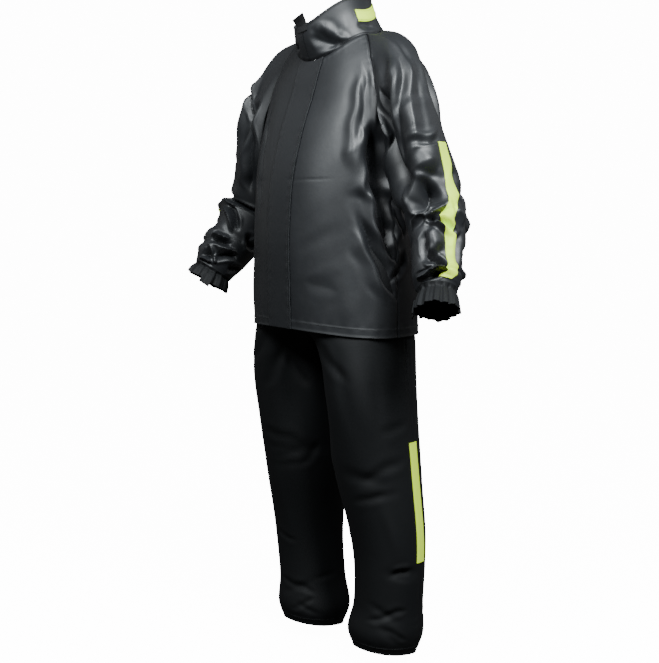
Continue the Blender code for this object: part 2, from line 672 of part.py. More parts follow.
def make_collar(cloth, tape, rough):
    """A stand collar that meets at the front, the strip round its back, and its closing tab."""
    angle, outer, outward = collar_grid()
    whole = outer
    for end, axis in ((0, 1), (-1, 1), (0, 0)):
        whole = pull_back(whole, outward, end, axis)
    add_piece("collar", whole, outward, cloth)

    low, high = COLLAR_STRIP_ENDS
    behind = (angle[0] >= low) & (angle[0] <= high)
    strip = outer[2:4, behind] + outward[2:4, behind] * (TRIM + LAID_GAP)
    add_piece("collar_strip", strip, outward[2:4, behind], tape, TRIM)

    places = [1, 0, -2, -3]
    laid = outer[-2:, places] + outward[-2:, places] * (CLOTH + LAID_GAP)
    rows, directions = [laid[0], laid[1]], [outward[-2, places], outward[-1, places]]
    upward = unit(laid[1] - laid[0])
    taper = np.array(TAB_TAPER)[:, None]
    for rise, out in TAB_RISE:
        rows.append(laid[1] + upward * rise * taper + outward[-1, places] * out)
        directions.append(outward[-1, places])
    add_piece("collar_tab", np.array(rows), np.array(directions), rough)


def sleeve_grid(side):
    """A sleeve's rows and columns. Below the cap, the strip's edges are columns of their own."""
    arm = LEFT_ARM if side > 0 else RIGHT_ARM
    cap = np.linspace(0, 1, CAP_ROWS)
    below = np.arange(1 + ARM_STEP, len(arm) + ARM_STEP / 2, ARM_STEP)
    reach, turn = np.meshgrid(np.concatenate([cap, below]), seam_turns(), indexing="ij")
    strip_turns = LEFT_STRIP_TURNS if side > 0 else RIGHT_STRIP_TURNS
    strip = np.interp(reach[:, 0], SLEEVE_STRIP_REACHES, strip_turns)
    turn = turn + (strip - 0.5)[:, None] * np.sin(math.pi * turn) ** 2
    ring = columns(arm, ARM_COLUMNS, reach[:, 0] - 1)
    girth = 2 * math.pi * np.sqrt((ring["wide"] ** 2 + ring["deep"] ** 2) / 2)
    middle = SEAM_ROWS + OVER_COLUMNS // 2
    share = smooth_step(reach[:, 0])
    for column, way in ((middle - 1, -1), (middle + 1, 1)):
        edge = strip + way * STRIP_HALF_WIDTH / girth
        turn[:, column] = turn[:, column] * (1 - share) + edge * share
    return reach, turn


def last_ring_frame(side):
    """The plane of the sleeve's last ring: its centre and the direction out of the sleeve."""
    arm = LEFT_ARM if side > 0 else RIGHT_ARM
    centre, along, _, _, _, _ = arm_frame(arm, np.array(len(arm) - 1.0))
    return centre, along


def make_sleeve(side, name, cloth, tape):
    """A raglan sleeve from its seam to the cuff, with a strip down its outer line."""
    reach, turn = sleeve_grid(side)
    outer, outward = sleeve(side, turn, reach), sleeve_normal(side, turn, reach)
    outward[0] = raglan_mitre(side, turn[0])
    centre, along = last_ring_frame(side)
    radial = outer[-1] - centre
    outward[-1] = unit(radial - along * (radial @ along)[:, None])
    middle = SEAM_ROWS + OVER_COLUMNS // 2
    rows = (reach[:, 0] > SLEEVE_STRIP_TOP - SMALL) & (reach[:, 0] < SLEEVE_STRIP_END + SMALL)
    strip_out = outward[rows, middle - 1 : middle + 2]
    strip = outer[rows, middle - 1 : middle + 2] + strip_out * (TRIM + LAID_GAP)
    outer = pull_back(outer, outward, 0, 0)
    pieces = [(f"sleeve_{name}", outer, outward, cloth, CLOTH, True)]
    pieces.append((f"sleeve_strip_{name}", strip, strip_out, tape, TRIM, False))
    for piece, points, directions, material, thickness, closed in pieces:
        if side < 0:
            points, directions = mirrored(points), mirrored(directions)
        add_piece(piece, points, directions, material, thickness, closed)


def cuff_grid(side, turn, along_cuff):
    """A cuff's points and radial directions, as if on the left. along_cuff counts its rings."""
    arm = LEFT_ARM if side > 0 else RIGHT_ARM
    centre, along = last_ring_frame(side)
    ring = columns(CUFF_RINGS, CUFF_COLUMNS, along_cuff)
    start = arm_ring(arm, turn, np.full(np.shape(turn), len(arm) - 1.0)) - centre
    radial = unit(start)
    wave = np.cos(2 * math.pi * CUFF_GATHERS * turn)
    lean = LEFT_CUFF_LEAN if side > 0 else RIGHT_CUFF_LEAN
    stretch = LEFT_CUFF_LENGTH if side > 0 else RIGHT_CUFF_LENGTH
    points = (
        centre
        + along * (SEAM_GAP + ring["along"] * stretch)[..., None]
        + start * ring["radius"][..., None]
        + radial * (ring["ruck"] * wave)[..., None]
        + lean * ring["lean"][..., None]
    )
    return points, radial


def make_cuff(side, name, cloth):
    """A gathered cuff that flares into a frill, and the tab on its inner front."""
    count = CUFF_GATHERS * CUFF_COLUMNS_A_GATHER
    turns = np.arange(count) / count
    level, turn = np.meshgrid(np.arange(len(CUFF_RINGS)), turns, indexing="ij")
    outer, outward = cuff_grid(side, turn, level)
    low = round((CUFF_TAB_TURN - CUFF_TAB_HALF_TURN) * count)
    high = round((CUFF_TAB_TURN + CUFF_TAB_HALF_TURN) * count)
    laid = outer[2:, low : high + 1] + outward[2:, low : high + 1] * (CLOTH + LAID_GAP)
    hanging = laid[-1] + unit(laid[-1] - laid[-2]) * CUFF_TAB_HANG
    tab = np.concatenate([laid, hanging[None]])
    tab_out = np.concatenate([outward[2:, low : high + 1], outward[-1:, low : high + 1]])
    pieces = [(f"cuff_{name}", outer, outward, True), (f"cuff_tab_{name}", tab, tab_out, False)]
    for piece, points, directions, closed in pieces:
        if side < 0:
            points, directions = mirrored(points), mirrored(directions)
        add_piece(piece, points, directions, cloth, CLOTH, closed)


def leg_levels():
    """Where the legs' rows lie, closer together above the crotch."""
    below = np.linspace(0, CROTCH_LEVEL, LEG_ROWS)
    above = np.linspace(0, 1, SEAT_ROWS)[1:] ** SEAT_CROWDING
    return np.concatenate([below, CROTCH_LEVEL + (WAIST_LEVEL - CROTCH_LEVEL) * above])


def leg_panel_angles(levels, half):
    """A panel's angles, from the outseam to the inseam. The second column is the strip's edge."""
    ring = columns(LEG_RINGS, LEG_COLUMNS, levels)
    girth = 2 * math.pi * np.sqrt((ring["half_width"] ** 2 + ring["half_depth"] ** 2) / 2)
    edge = OUTSEAM_ANGLE + half * 360 * STRIP_HALF_WIDTH / girth
    inner = half * leg_inner_angle(levels)
    share = np.linspace(0, 1, PANEL_COLUMNS)
    rest = edge[:, None] + (inner - edge)[:, None] * share
    return np.concatenate([np.full((len(levels), 1), OUTSEAM_ANGLE), rest], axis=1)


def make_trousers(cloth, tape):
    """A front, a back and a strip for each leg, joined at the outseam, inseam and crotch seam."""
    levels = leg_levels()
    for side, side_name in ((1, "left"), (-1, "right")):
        beside = {}
        for half, half_name in ((1, "front"), (-1, "back")):
            angle = leg_panel_angles(levels, half)
            level = np.repeat(levels[:, None], angle.shape[1], axis=1)
            outer, outward = leg(side, angle, level), leg_normal(side, angle, level)
            outward[-1] = unit(outward[-1] * FLAT)
            beside[half] = outer[:, :2], outward[:, :2]
            for end, axis in ((0, 1), (-1, 1)):
                outer = pull_back(outer, outward, end, axis)
            if side < 0:
                outer, outward = mirrored(outer), mirrored(outward)
            add_piece(f"trouser_{half_name}_{side_name}", outer, outward, cloth)
        rows = (levels > LEG_STRIP_LOW) & (levels < LEG_STRIP_HIGH)
        front, behind = beside[1], beside[-1]
        strip, strip_out = (
            np.stack([ahead[rows, 1], ahead[rows, 0], back[rows, 1]], 1)
            for ahead, back in zip(front, behind)
        )
        strip = strip + strip_out * (TRIM + LAID_GAP)
        if side < 0:
            strip, strip_out = mirrored(strip), mirrored(strip_out)
        add_piece(f"leg_strip_{side_name}", strip, strip_out, tape, TRIM)


def make_waistband(cloth):
    """The gathered elastic band on top of the trousers."""
    count = WAISTBAND_GATHERS * CUFF_COLUMNS_A_GATHER
    angles = 360 * np.arange(count) / count
    level, angle = np.meshgrid(np.arange(len(WAISTBAND_RINGS)), angles, indexing="ij")
    ring = columns(WAISTBAND_RINGS, WAISTBAND_COLUMNS, level)
    start = plain_leg(angle, np.full(angle.shape, WAIST_LEVEL))
    radial = unit(start * FLAT)
    wave = np.cos(np.radians(angle * WAISTBAND_GATHERS))
    outer = (
        start * FLAT * ring["radius"][..., None]
        + radial * (ring["ruck"] * wave)[..., None]
        + UP * (start[..., 2] + SEAM_GAP + ring["along"])[..., None]
    )
    add_piece("waistband", outer, radial, cloth, closed=True)


def clear_scene():
    """Removes what the scene holds."""
    for thing in list(bpy.data.objects):
        bpy.data.objects.remove(thing)


def main():
    clear_scene()
    cloth = make_material("coated_cloth", (0.022, 0.024, 0.027), 0.42)
    tape = make_material("signal_tape", (0.70, 0.83, 0.12), 0.50)
    rough = make_material("hook_tape", (0.012, 0.012, 0.013), 0.90)
    make_jacket_body(cloth)
    make_storm_flap(cloth)
    make_collar(cloth, tape, rough)
    for side, name in ((1, "left"), (-1, "right")):
        make_sleeve(side, name, cloth, tape)
        make_cuff(side, name, cloth)
    make_trousers(cloth, tape)
    make_waistband(cloth)


main()
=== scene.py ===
"""The look of a two-piece rain suit, worn and hollow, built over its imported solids. Each piece is a
thin cloth shell on the same surface as its solid, with finer folds, seams and stitches."""

import math
from functools import partial

import bpy
import numpy as np
from bpy.props import FloatProperty, FloatVectorProperty, PointerProperty
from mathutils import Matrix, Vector


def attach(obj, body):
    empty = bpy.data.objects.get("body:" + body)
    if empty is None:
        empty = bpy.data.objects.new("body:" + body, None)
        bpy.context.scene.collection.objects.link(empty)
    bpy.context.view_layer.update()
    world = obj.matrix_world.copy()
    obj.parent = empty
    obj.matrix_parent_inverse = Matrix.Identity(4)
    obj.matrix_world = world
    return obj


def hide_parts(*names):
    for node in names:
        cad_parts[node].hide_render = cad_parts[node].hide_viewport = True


bl_info = {
    "name": "Rain suit",
    "version": (1, 0, 0),
    "blender": (4, 5, 0),
    "location": "View3D > Sidebar > Rain suit",
    "description": "Dresses the solids of a rain suit in coated cloth, tape and stitches",
    "category": "Object",
}

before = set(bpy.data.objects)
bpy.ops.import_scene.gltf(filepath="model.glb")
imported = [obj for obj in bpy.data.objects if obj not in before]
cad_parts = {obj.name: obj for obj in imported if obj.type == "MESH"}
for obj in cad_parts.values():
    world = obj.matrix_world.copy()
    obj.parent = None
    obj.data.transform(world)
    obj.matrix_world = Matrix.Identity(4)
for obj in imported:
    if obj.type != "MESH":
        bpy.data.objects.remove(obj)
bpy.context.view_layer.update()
BODY = "root"

# Heights in the tables are measured from the floor that the wearer stands on, in metres.
ORIGIN_HEIGHT = 1.44
# Thicknesses, and the gaps under a laid piece and at a seam.
CLOTH = 0.002
TRIM = 0.0014
LAID_GAP = 0.0006
SEAM_GAP = 0.0003
FLAT = np.array([1.0, 1.0, 0.0])
UP = np.array([0.0, 0.0, 1.0])
SMALL = 1e-6

# Jacket body, one row for each level ring. front, side and back are the ring's heights there,
# ahead and behind are its depths from middle, and tilt raises its left side over its right.
BODY_COLUMNS = (
    "front", "side", "back", "half_width", "ahead", "behind", "middle", "tilt", "square",
)
BODY_RINGS = {
    "hem": (0.815, 0.797, 0.790, 0.219, 0.174, 0.166, 0, 0, 2.15),
    "hip": (0.906, 0.902, 0.902, 0.218, 0.176, 0.166, 0, 0, 2.15),
    "waist": (1.030, 1.030, 1.030, 0.211, 0.178, 0.164, 0, 0, 2.15),
    "rib": (1.160, 1.155, 1.160, 0.206, 0.166, 0.162, 0, 0, 2.20),
    "underarm": (1.268, 1.262, 1.290, 0.204, 0.136, 0.155, 0, 0, 2.30),
    "chest": (1.345, 1.375, 1.385, 0.190, 0.106, 0.142, 0, 0, 2.30),
    "yoke": (1.392, 1.440, 1.462, 0.154, 0.091, 0.120, 0, 0, 2.20),
    "neck": (1.428, 1.487, 1.528, 0.112, 0.078, 0.098, 0, 0, 2.10),
}
COLLAR_RINGS = {
    "seam": (1.428, 1.487, 1.528, 0.112, 0.078, 0.098, 0, 0, 2.10),
    "low": (1.446, 1.505, 1.546, 0.101, 0.083, 0.094, -0.004, 0.003, 2.10),
    "high": (1.476, 1.528, 1.571, 0.090, 0.089, 0.090, -0.009, 0.012, 2.10),
    "top": (1.508, 1.550, 1.598, 0.087, 0.092, 0.090, -0.010, 0.022, 2.10),
}
UNDERARM_LEVEL = 4.0
NECK_LEVEL = 7.0
COLLAR_TOP = 3.0

# Raglan seam: how far round the body it lies at each level, in degrees from centre front.
RAGLAN_LEVELS = (4.0, 5.0, 6.0, 7.0)
RAGLAN_FRONT = (90.0, 71.0, 75.0, 88.0)
RAGLAN_BACK = (90.0, 109.0, 113.0, 125.0)
SEAM_SHARE = 0.43

# Sleeves, one row for each ring along the arm below the raglan seam. x is outwards.
ARM_COLUMNS = ("x", "y", "height", "wide", "deep")
LEFT_ARM = {
    "upper": (0.272, 0.004, 1.205, 0.075, 0.083),
    "above_elbow": (0.306, 0.008, 1.135, 0.070, 0.079),
    "elbow": (0.337, 0.004, 1.062, 0.064, 0.070),
    "forearm": (0.370, -0.026, 0.993, 0.054, 0.058),
    "above_wrist": (0.386, -0.040, 0.945, 0.053, 0.056),
    "wrist": (0.397, -0.050, 0.922, 0.043, 0.045),
}
RIGHT_ARM = {
    "upper": (0.276, 0.006, 1.205, 0.076, 0.084),
    "above_elbow": (0.306, 0.014, 1.135, 0.073, 0.080),
    "elbow": (0.339, 0.004, 1.063, 0.074, 0.079),
    "forearm": (0.356, -0.055, 0.985, 0.064, 0.067),
    "above_wrist": (0.361, -0.084, 0.950, 0.059, 0.061),
    "wrist": (0.367, -0.101, 0.922, 0.050, 0.052),
}
# The sleeve's cap: how full its curve is, its length for placing folds, and how hard and over what
# share of a turn it is pushed out under the arm and over the shoulder.
CAP_FULLNESS = 1.40
CAP_LENGTH = 0.20
UNDERARM_PUSH = 0.9
UNDERARM_SPREAD = 0.12
SHOULDER_PUSH = np.array([1.3, 0.0, 0.75])
SHOULDER_SPREAD = 0.20

# Trousers, one row for each ring of a leg and of the half of the seat above it. The ring's centre
# moves to the middle line above the crotch. lift raises the front of a ring over the foot.
LEG_COLUMNS = ("height", "x", "y", "half_width", "half_depth", "square", "lift")
LEG_RINGS = {
    "hem": (0.028, 0.135, 0.040, 0.071, 0.073, 2.3, 0.012),
    "instep": (0.075, 0.136, 0.043, 0.088, 0.088, 2.3, 0.006),
    "ankle": (0.145, 0.144, 0.044, 0.082, 0.082, 2.2, 0.0),
    "calf": (0.240, 0.151, 0.041, 0.083, 0.083, 2.2, 0.0),
    "shin": (0.330, 0.149, 0.034, 0.089, 0.089, 2.2, 0.0),
    "knee": (0.460, 0.137, 0.016, 0.100, 0.100, 2.2, 0.0),
    "thigh": (0.640, 0.125, -0.004, 0.106, 0.115, 2.2, 0.0),
    "crotch": (0.775, 0.1075, -0.006, 0.1045, 0.130, 2.2, 0.0),
    "seat": (0.840, 0.045, -0.004, 0.1665, 0.143, 2.15, 0.0),
    "hip": (0.905, 0.000, 0.000, 0.2140, 0.1560, 2.15, 0.0),
    "waist": (1.035, 0.000, 0.000, 0.190, 0.135, 2.1, 0.0),
}
CROTCH_LEVEL = 7.0
WAIST_LEVEL = 10.0
OUTSEAM_ANGLE = -16.0

# Trims. Widths and lifts are in metres, levels and reaches in row numbers, angles in degrees from
# the front and turns in shares of the way round a sleeve.
FRONT_START = 0.15
FLAP_LEFT = 0.044
FLAP_RIGHT = 0.040
FLAP_LIFT = 0.0012
FLAP_CLEARANCE = 0.001
STRIP_HALF_WIDTH = 0.014
SLEEVE_STRIP_TOP = 1.0
SLEEVE_STRIP_END = 5.75
SLEEVE_STRIP_REACHES = (0.0, 1.0, 2.0, 2.5, 2.9, 3.25, 3.6, 4.1, 4.6, 5.1, 5.75, 6.0)
STRIP_TURNS = {
    1: (0.5, 0.525, 0.514, 0.508, 0.462, 0.416, 0.440, 0.474, 0.489, 0.474, 0.424, 0.420),
    -1: (0.5, 0.535, 0.515, 0.500, 0.476, 0.445, 0.448, 0.472, 0.484, 0.476, 0.448, 0.444),
}
LEG_STRIP_LEVELS = (3.2, 5.5)
OUTSEAM_GAP = 0.05
COLLAR_ENDS = (0.4, 359.6)
COLLAR_STRIP_LEVELS = (1.28, 2.08)
COLLAR_STRIP_ENDS = (84.0, 276.0)
COLLAR_TAB_LEVEL = 2.55
TAB_ENDS = (-12.5, 9.0)
TAB_HEIGHTS = (0.0, 0.010, 0.024)
TAB_OUTS = (0.0, 0.003, 0.010)
TAB_TAPER = (0.7, 1.0)

WAISTBAND_GATHERS = 24
WAISTBAND_RIPPLES = 41
WAISTBAND_RIPPLE_SHARE = 0.3
WAISTBAND_COLUMNS = ("along", "radius", "ruck")
WAISTBAND_RINGS = {
    "seam": (0.0, 1.00, 0.0),
    "low": (0.006, 0.99, 0.003),
    "top": (0.036, 0.97, 0.004),
}
CUFF_GATHERS = 14
CUFF_COLUMNS = ("along", "radius", "ruck", "lean")
CUFF_RINGS = {
    "seam": (0.0, 1.00, 0.0, 0.0),
    "elastic": (0.008, 0.95, 0.0016, 0.0),
    "frill": (0.024, 1.04, 0.0026, 0.45),
    "edge": (0.042, 1.09, 0.0034, 1.0),
}
CUFF_LENGTHS = {1: 1.25, -1: 0.80}
CUFF_LEANS = {1: np.array([0.012, -0.014, 0.004]), -1: np.array([-0.004, -0.002, 0.000])}
# The gathers' own unevenness: slow waves that vary their height and length, and a finer ripple.
CUFF_SLOW_WAVES = 5
CUFF_HEIGHT_RANGE = (0.85, 0.3)
CUFF_LENGTH_SWAY = 0.04
CUFF_RIPPLES = 31
CUFF_RIPPLE_SHARE = 0.35
CUFF_RIPPLE_LEAN = 0.8
CUFF_TAB_TURN = 0.10
CUFF_TAB_HALF_TURN = 0.035
CUFF_TAB_HANG = 0.014
CUFF_TAB_GAP = 0.0006

# Finishes: how much rougher a cloth is made as it is darkened into painted shade, the inner face's
# roughness, the share of each channel that is left in the tape's dusty patches, and the hook tape's two
# tones.
DULLER_BY = 0.36
INSIDE_ROUGHNESS = 0.92
TAPE_SHADE = (0.86, 0.88, 0.8)
HOOK_LIGHT = (0.022, 0.022, 0.024)
HOOK_DARK = (0.004, 0.004, 0.005)

# Folds and creases fade out over this many rows at the neck seam, the raglan seam, the wrist and
# the waist, and over this many metres at the trousers' middle line.
NECK_FADE = 0.6
CAP_FADE = 0.3
WRIST_FADE = 0.35
WAIST_FADE = 1.0
MIDDLE_FADE = 0.03

# Folds: where the middle lies, which way it runs (0 is along the garment), and its size. An angle
# goes round from the front, or on a sleeve from the underarm and on a leg from the outseam. A
# place is a height, or on a sleeve the distance down from the raglan seam. A positive depth
# stands out and a negative one sinks in.
FOLD_COLUMNS = ("angle", "place", "lean", "length", "width", "depth")
BODY_RADIUS = 0.19
BODY_FOLDS = {
    "left_chest_valley": (64, 1.24, 0, 0.46, 0.016, -0.007),
    "left_side_hollow": (83, 1.17, -6, 0.32, 0.034, -0.016),
    "left_front_ridge": (52, 1.20, 4, 0.44, 0.024, 0.005),
    "left_hip_drag": (70, 1.01, -23, 0.22, 0.020, -0.008),
    "right_chest_valley": (-66, 1.22, 0, 0.44, 0.018, -0.007),
    "right_side_hollow": (-84, 1.16, 8, 0.30, 0.030, -0.012),
    "right_hip_drag": (-68, 1.01, 20, 0.20, 0.020, -0.006),
    "back_left_drape": (148, 1.20, -4, 0.50, 0.026, -0.007),
    "back_right_drape": (207, 1.16, 5, 0.56, 0.028, -0.007),
    "back_middle_drape": (176, 1.02, 3, 0.36, 0.022, -0.005),
    # Finer ones, which the solids leave out.
    "left_raglan_ridge": (72, 1.30, 5, 0.20, 0.008, 0.003),
    "left_chest_crease": (58, 1.33, -6, 0.16, 0.006, -0.0025),
    "left_hole_edge": (75, 1.16, -4, 0.20, 0.008, 0.004),
    "left_waist_drag": (80, 0.96, -34, 0.15, 0.007, -0.003),
    "left_waist_ridge": (62, 1.03, -26, 0.17, 0.009, 0.0025),
    "left_hem_swing": (50, 0.88, -6, 0.20, 0.018, 0.003),
    "left_hem_dip": (66, 0.87, 4, 0.18, 0.016, -0.003),
    "pack_crease_left": (22, 1.157, 88, 0.16, 0.0022, -0.0009),
    "pack_crease_right": (-28, 1.152, 93, 0.12, 0.0022, -0.0008),
    "belly_soft_dent": (30, 1.02, 60, 0.16, 0.016, -0.0016),
    "belly_soft_ridge": (36, 0.95, 70, 0.18, 0.018, 0.0014),
    "right_front_valley": (-33, 1.25, -3, 0.22, 0.010, -0.0035),
    "right_front_ridge": (-45, 1.20, 4, 0.26, 0.012, 0.003),
    "right_waist_drag": (-80, 0.97, 30, 0.16, 0.008, -0.003),
    "right_hem_swing": (-48, 0.88, 5, 0.20, 0.018, 0.003),
    "back_yoke_drag_left": (140, 1.36, 35, 0.16, 0.010, -0.003),
    "back_yoke_drag_right": (221, 1.35, -32, 0.18, 0.011, -0.003),
    "back_left_ridge": (136, 1.18, -5, 0.34, 0.014, 0.004),
    "back_right_ridge": (222, 1.12, 6, 0.36, 0.016, 0.004),
    "back_waist_dent": (160, 1.08, 74, 0.20, 0.012, -0.0025),
    "back_waist_dent_right": (198, 1.05, 100, 0.16, 0.010, -0.002),
    "back_hem_swing": (165, 0.86, 0, 0.22, 0.020, 0.004),
    "back_hem_dip": (190, 0.87, 4, 0.24, 0.020, -0.003),
    "back_side_crease": (112, 1.07, 40, 0.15, 0.008, -0.003),
    "back_side_crease_right": (248, 1.08, -38, 0.14, 0.008, -0.003),
}
COLLAR_FOLDS = {
    "left_corner_valley": (44, 1.478, 38, 0.075, 0.008, -0.0045),
    "left_corner_ridge": (58, 1.492, 30, 0.08, 0.009, 0.0030),
    "front_tuck": (22, 1.452, 80, 0.05, 0.006, -0.0020),
    "right_corner_valley": (-42, 1.472, -34, 0.07, 0.008, -0.0040),
    "back_dent": (170, 1.57, 84, 0.14, 0.010, -0.0020),
    "back_ridge": (205, 1.55, 80, 0.10, 0.009, 0.0016),
}
COLLAR_RADIUS = 0.095
ARM_RADIUS = 0.075
LEFT_ARM_FOLDS = {
    "armhole_valley": (112, 0.12, 0, 0.22, 0.018, -0.013),
    "cap_ridge": (132, 0.14, 0, 0.26, 0.016, 0.006),
    "cap_valley": (152, 0.13, 4, 0.20, 0.016, -0.008),
    "elbow_hollow": (138, 0.285, 70, 0.20, 0.026, -0.012),
    "elbow_roll": (118, 0.345, 60, 0.18, 0.018, 0.008),
    "forearm_hollow": (135, 0.455, 80, 0.16, 0.014, -0.008),
    "inner_elbow": (20, 0.32, 90, 0.20, 0.016, -0.008),
    "back_cap_valley": (232, 0.15, 0, 0.22, 0.018, -0.008),
    "back_elbow_drape": (250, 0.33, 30, 0.24, 0.022, -0.006),
    # Finer ones, which the solids leave out.
    "tuck_upper": (146, 0.146, 88, 0.17, 0.0045, -0.0028),
    "tuck_lower": (148, 0.156, 91, 0.15, 0.0050, 0.0022),
    "cap_crease": (168, 0.10, 6, 0.14, 0.007, -0.0030),
    "cap_crease_ridge": (160, 0.09, 4, 0.12, 0.006, 0.0022),
    "elbow_crease_high": (146, 0.262, 64, 0.12, 0.008, -0.0040),
    "elbow_ridge": (150, 0.318, 44, 0.10, 0.008, 0.0050),
    "elbow_crease_low": (142, 0.352, 118, 0.09, 0.007, -0.0050),
    "forearm_face": (150, 0.400, 76, 0.08, 0.014, 0.0040),
    "forearm_crease": (140, 0.448, 98, 0.10, 0.006, -0.0050),
    "wrist_ridge": (140, 0.478, 62, 0.10, 0.008, 0.0040),
    "wrist_pinch": (136, 0.500, 84, 0.06, 0.006, -0.0045),
    "wrist_puff": (160, 0.520, 90, 0.30, 0.010, 0.0030),
    "inner_forearm_crease": (40, 0.42, 96, 0.12, 0.008, -0.0040),
    "inner_elbow_second": (10, 0.36, 84, 0.12, 0.008, -0.0035),
    "back_elbow_ridge": (270, 0.30, 20, 0.16, 0.012, 0.0040),
    "back_forearm_crease": (265, 0.43, 70, 0.14, 0.009, -0.0040),
    "back_wrist_crease": (250, 0.49, 82, 0.12, 0.008, -0.0040),
    "outer_crease": (205, 0.37, 74, 0.10, 0.007, -0.0030),
    "outer_wrist_crease": (200, 0.48, 88, 0.10, 0.006, -0.0030),
}
RIGHT_ARM_FOLDS = {
    "armhole_valley": (108, 0.13, 0, 0.22, 0.018, -0.010),
    "cap_valley": (150, 0.14, 0, 0.20, 0.018, -0.007),
    "elbow_fold": (128, 0.335, 78, 0.26, 0.014, -0.014),
    "elbow_bulge": (135, 0.372, 80, 0.24, 0.018, 0.012),
    "forearm_hollow": (120, 0.43, 82, 0.20, 0.012, -0.007),
    "forearm_roll": (110, 0.465, 80, 0.18, 0.012, 0.005),
    "inner_elbow": (20, 0.34, 90, 0.20, 0.016, -0.008),
    "back_cap_valley": (235, 0.15, 0, 0.22, 0.018, -0.008),
    "back_elbow_drape": (245, 0.34, 25, 0.24, 0.022, -0.006),
    # Finer ones, which the solids leave out.
    "cap_notch": (160, 0.09, 92, 0.10, 0.008, -0.0050),
    "cap_crease": (128, 0.16, 8, 0.16, 0.009, 0.0035),
    "elbow_lip": (110, 0.352, 84, 0.16, 0.007, 0.0040),
    "forearm_crease_high": (112, 0.410, 74, 0.13, 0.007, -0.0045),
    "forearm_crease_middle": (95, 0.445, 96, 0.14, 0.006, -0.0040),
    "forearm_crease_low": (118, 0.487, 84, 0.14, 0.006, -0.0040),
    "wrist_puff": (110, 0.505, 88, 0.26, 0.009, 0.0030),
    "inner_forearm_crease": (30, 0.44, 90, 0.12, 0.008, -0.0040),
    "back_elbow_ridge": (268, 0.31, 22, 0.16, 0.012, 0.0040),
    "back_forearm_crease": (260, 0.44, 100, 0.14, 0.009, -0.0040),
    "outer_crease": (200, 0.40, 80, 0.12, 0.007, -0.0035),
    "outer_tuck": (150, 0.22, 80, 0.14, 0.007, -0.0030),
}
LEG_RADIUS = 0.10
LEFT_LEG_FOLDS = {
    "inner_slack": (132, 0.70, 0, 0.44, 0.045, -0.022),
    "front_ridge": (48, 0.68, 0, 0.26, 0.022, 0.005),
    "knee_crease": (60, 0.47, 82, 0.16, 0.014, -0.005),
    "shin_crease": (20, 0.238, 86, 0.13, 0.012, -0.005),
    "back_knee_crease": (-100, 0.49, 88, 0.20, 0.016, -0.007),
    "seat_fold": (-110, 0.74, 62, 0.18, 0.016, -0.006),
    # Finer ones, which the solids leave out.
    "front_valley": (70, 0.70, 2, 0.28, 0.014, -0.0040),
    "outer_valley": (26, 0.66, -3, 0.24, 0.012, -0.0030),
    "knee_crease_second": (40, 0.43, 100, 0.12, 0.008, -0.0030),
    "shin_ridge": (34, 0.34, 12, 0.22, 0.014, 0.0030),
    "shin_crease_fine": (24, 0.226, 80, 0.09, 0.005, -0.0025),
    "ankle_crease": (50, 0.14, 66, 0.14, 0.009, -0.0040),
    "hem_crease": (36, 0.085, 55, 0.12, 0.008, -0.0035),
    "inner_knee_crease": (160, 0.45, 84, 0.12, 0.010, -0.0035),
    "back_knee_second": (-88, 0.45, 98, 0.16, 0.009, -0.0040),
    "back_calf_drape": (-70, 0.30, 6, 0.26, 0.014, -0.0030),
    "back_ankle_crease": (-84, 0.13, 82, 0.14, 0.009, -0.0035),
}
RIGHT_LEG_FOLDS = {
    "inner_slack": (132, 0.70, 0, 0.44, 0.045, -0.022),
    "front_ridge": (60, 0.70, 0, 0.28, 0.024, 0.004),
    "knee_crease": (130, 0.50, 90, 0.20, 0.014, -0.006),
    "back_knee_crease": (-95, 0.50, 84, 0.20, 0.016, -0.007),
    "calf_crease": (-60, 0.27, 80, 0.14, 0.012, -0.004),
    "seat_fold": (-112, 0.73, 58, 0.18, 0.016, -0.006),
    # Finer ones, which the solids leave out.
    "front_valley": (84, 0.68, -2, 0.30, 0.014, -0.0035),
    "knee_crease_second": (118, 0.46, 80, 0.14, 0.008, -0.0030),
    "thigh_drag": (110, 0.72, 30, 0.18, 0.012, -0.0035),
    "shin_ridge": (100, 0.34, -6, 0.24, 0.014, 0.0030),
    "ankle_crease": (110, 0.13, 70, 0.14, 0.009, -0.0040),
    "hem_crease": (130, 0.08, 110, 0.12, 0.008, -0.0035),
    "inner_ankle_crease": (165, 0.16, 84, 0.10, 0.008, -0.0030),
    "back_knee_second": (-86, 0.46, 96, 0.16, 0.009, -0.0040),
    "back_calf_drape": (-78, 0.32, -5, 0.26, 0.014, -0.0030),
    "back_ankle_crease": (-90, 0.14, 92, 0.14, 0.009, -0.0035),
}

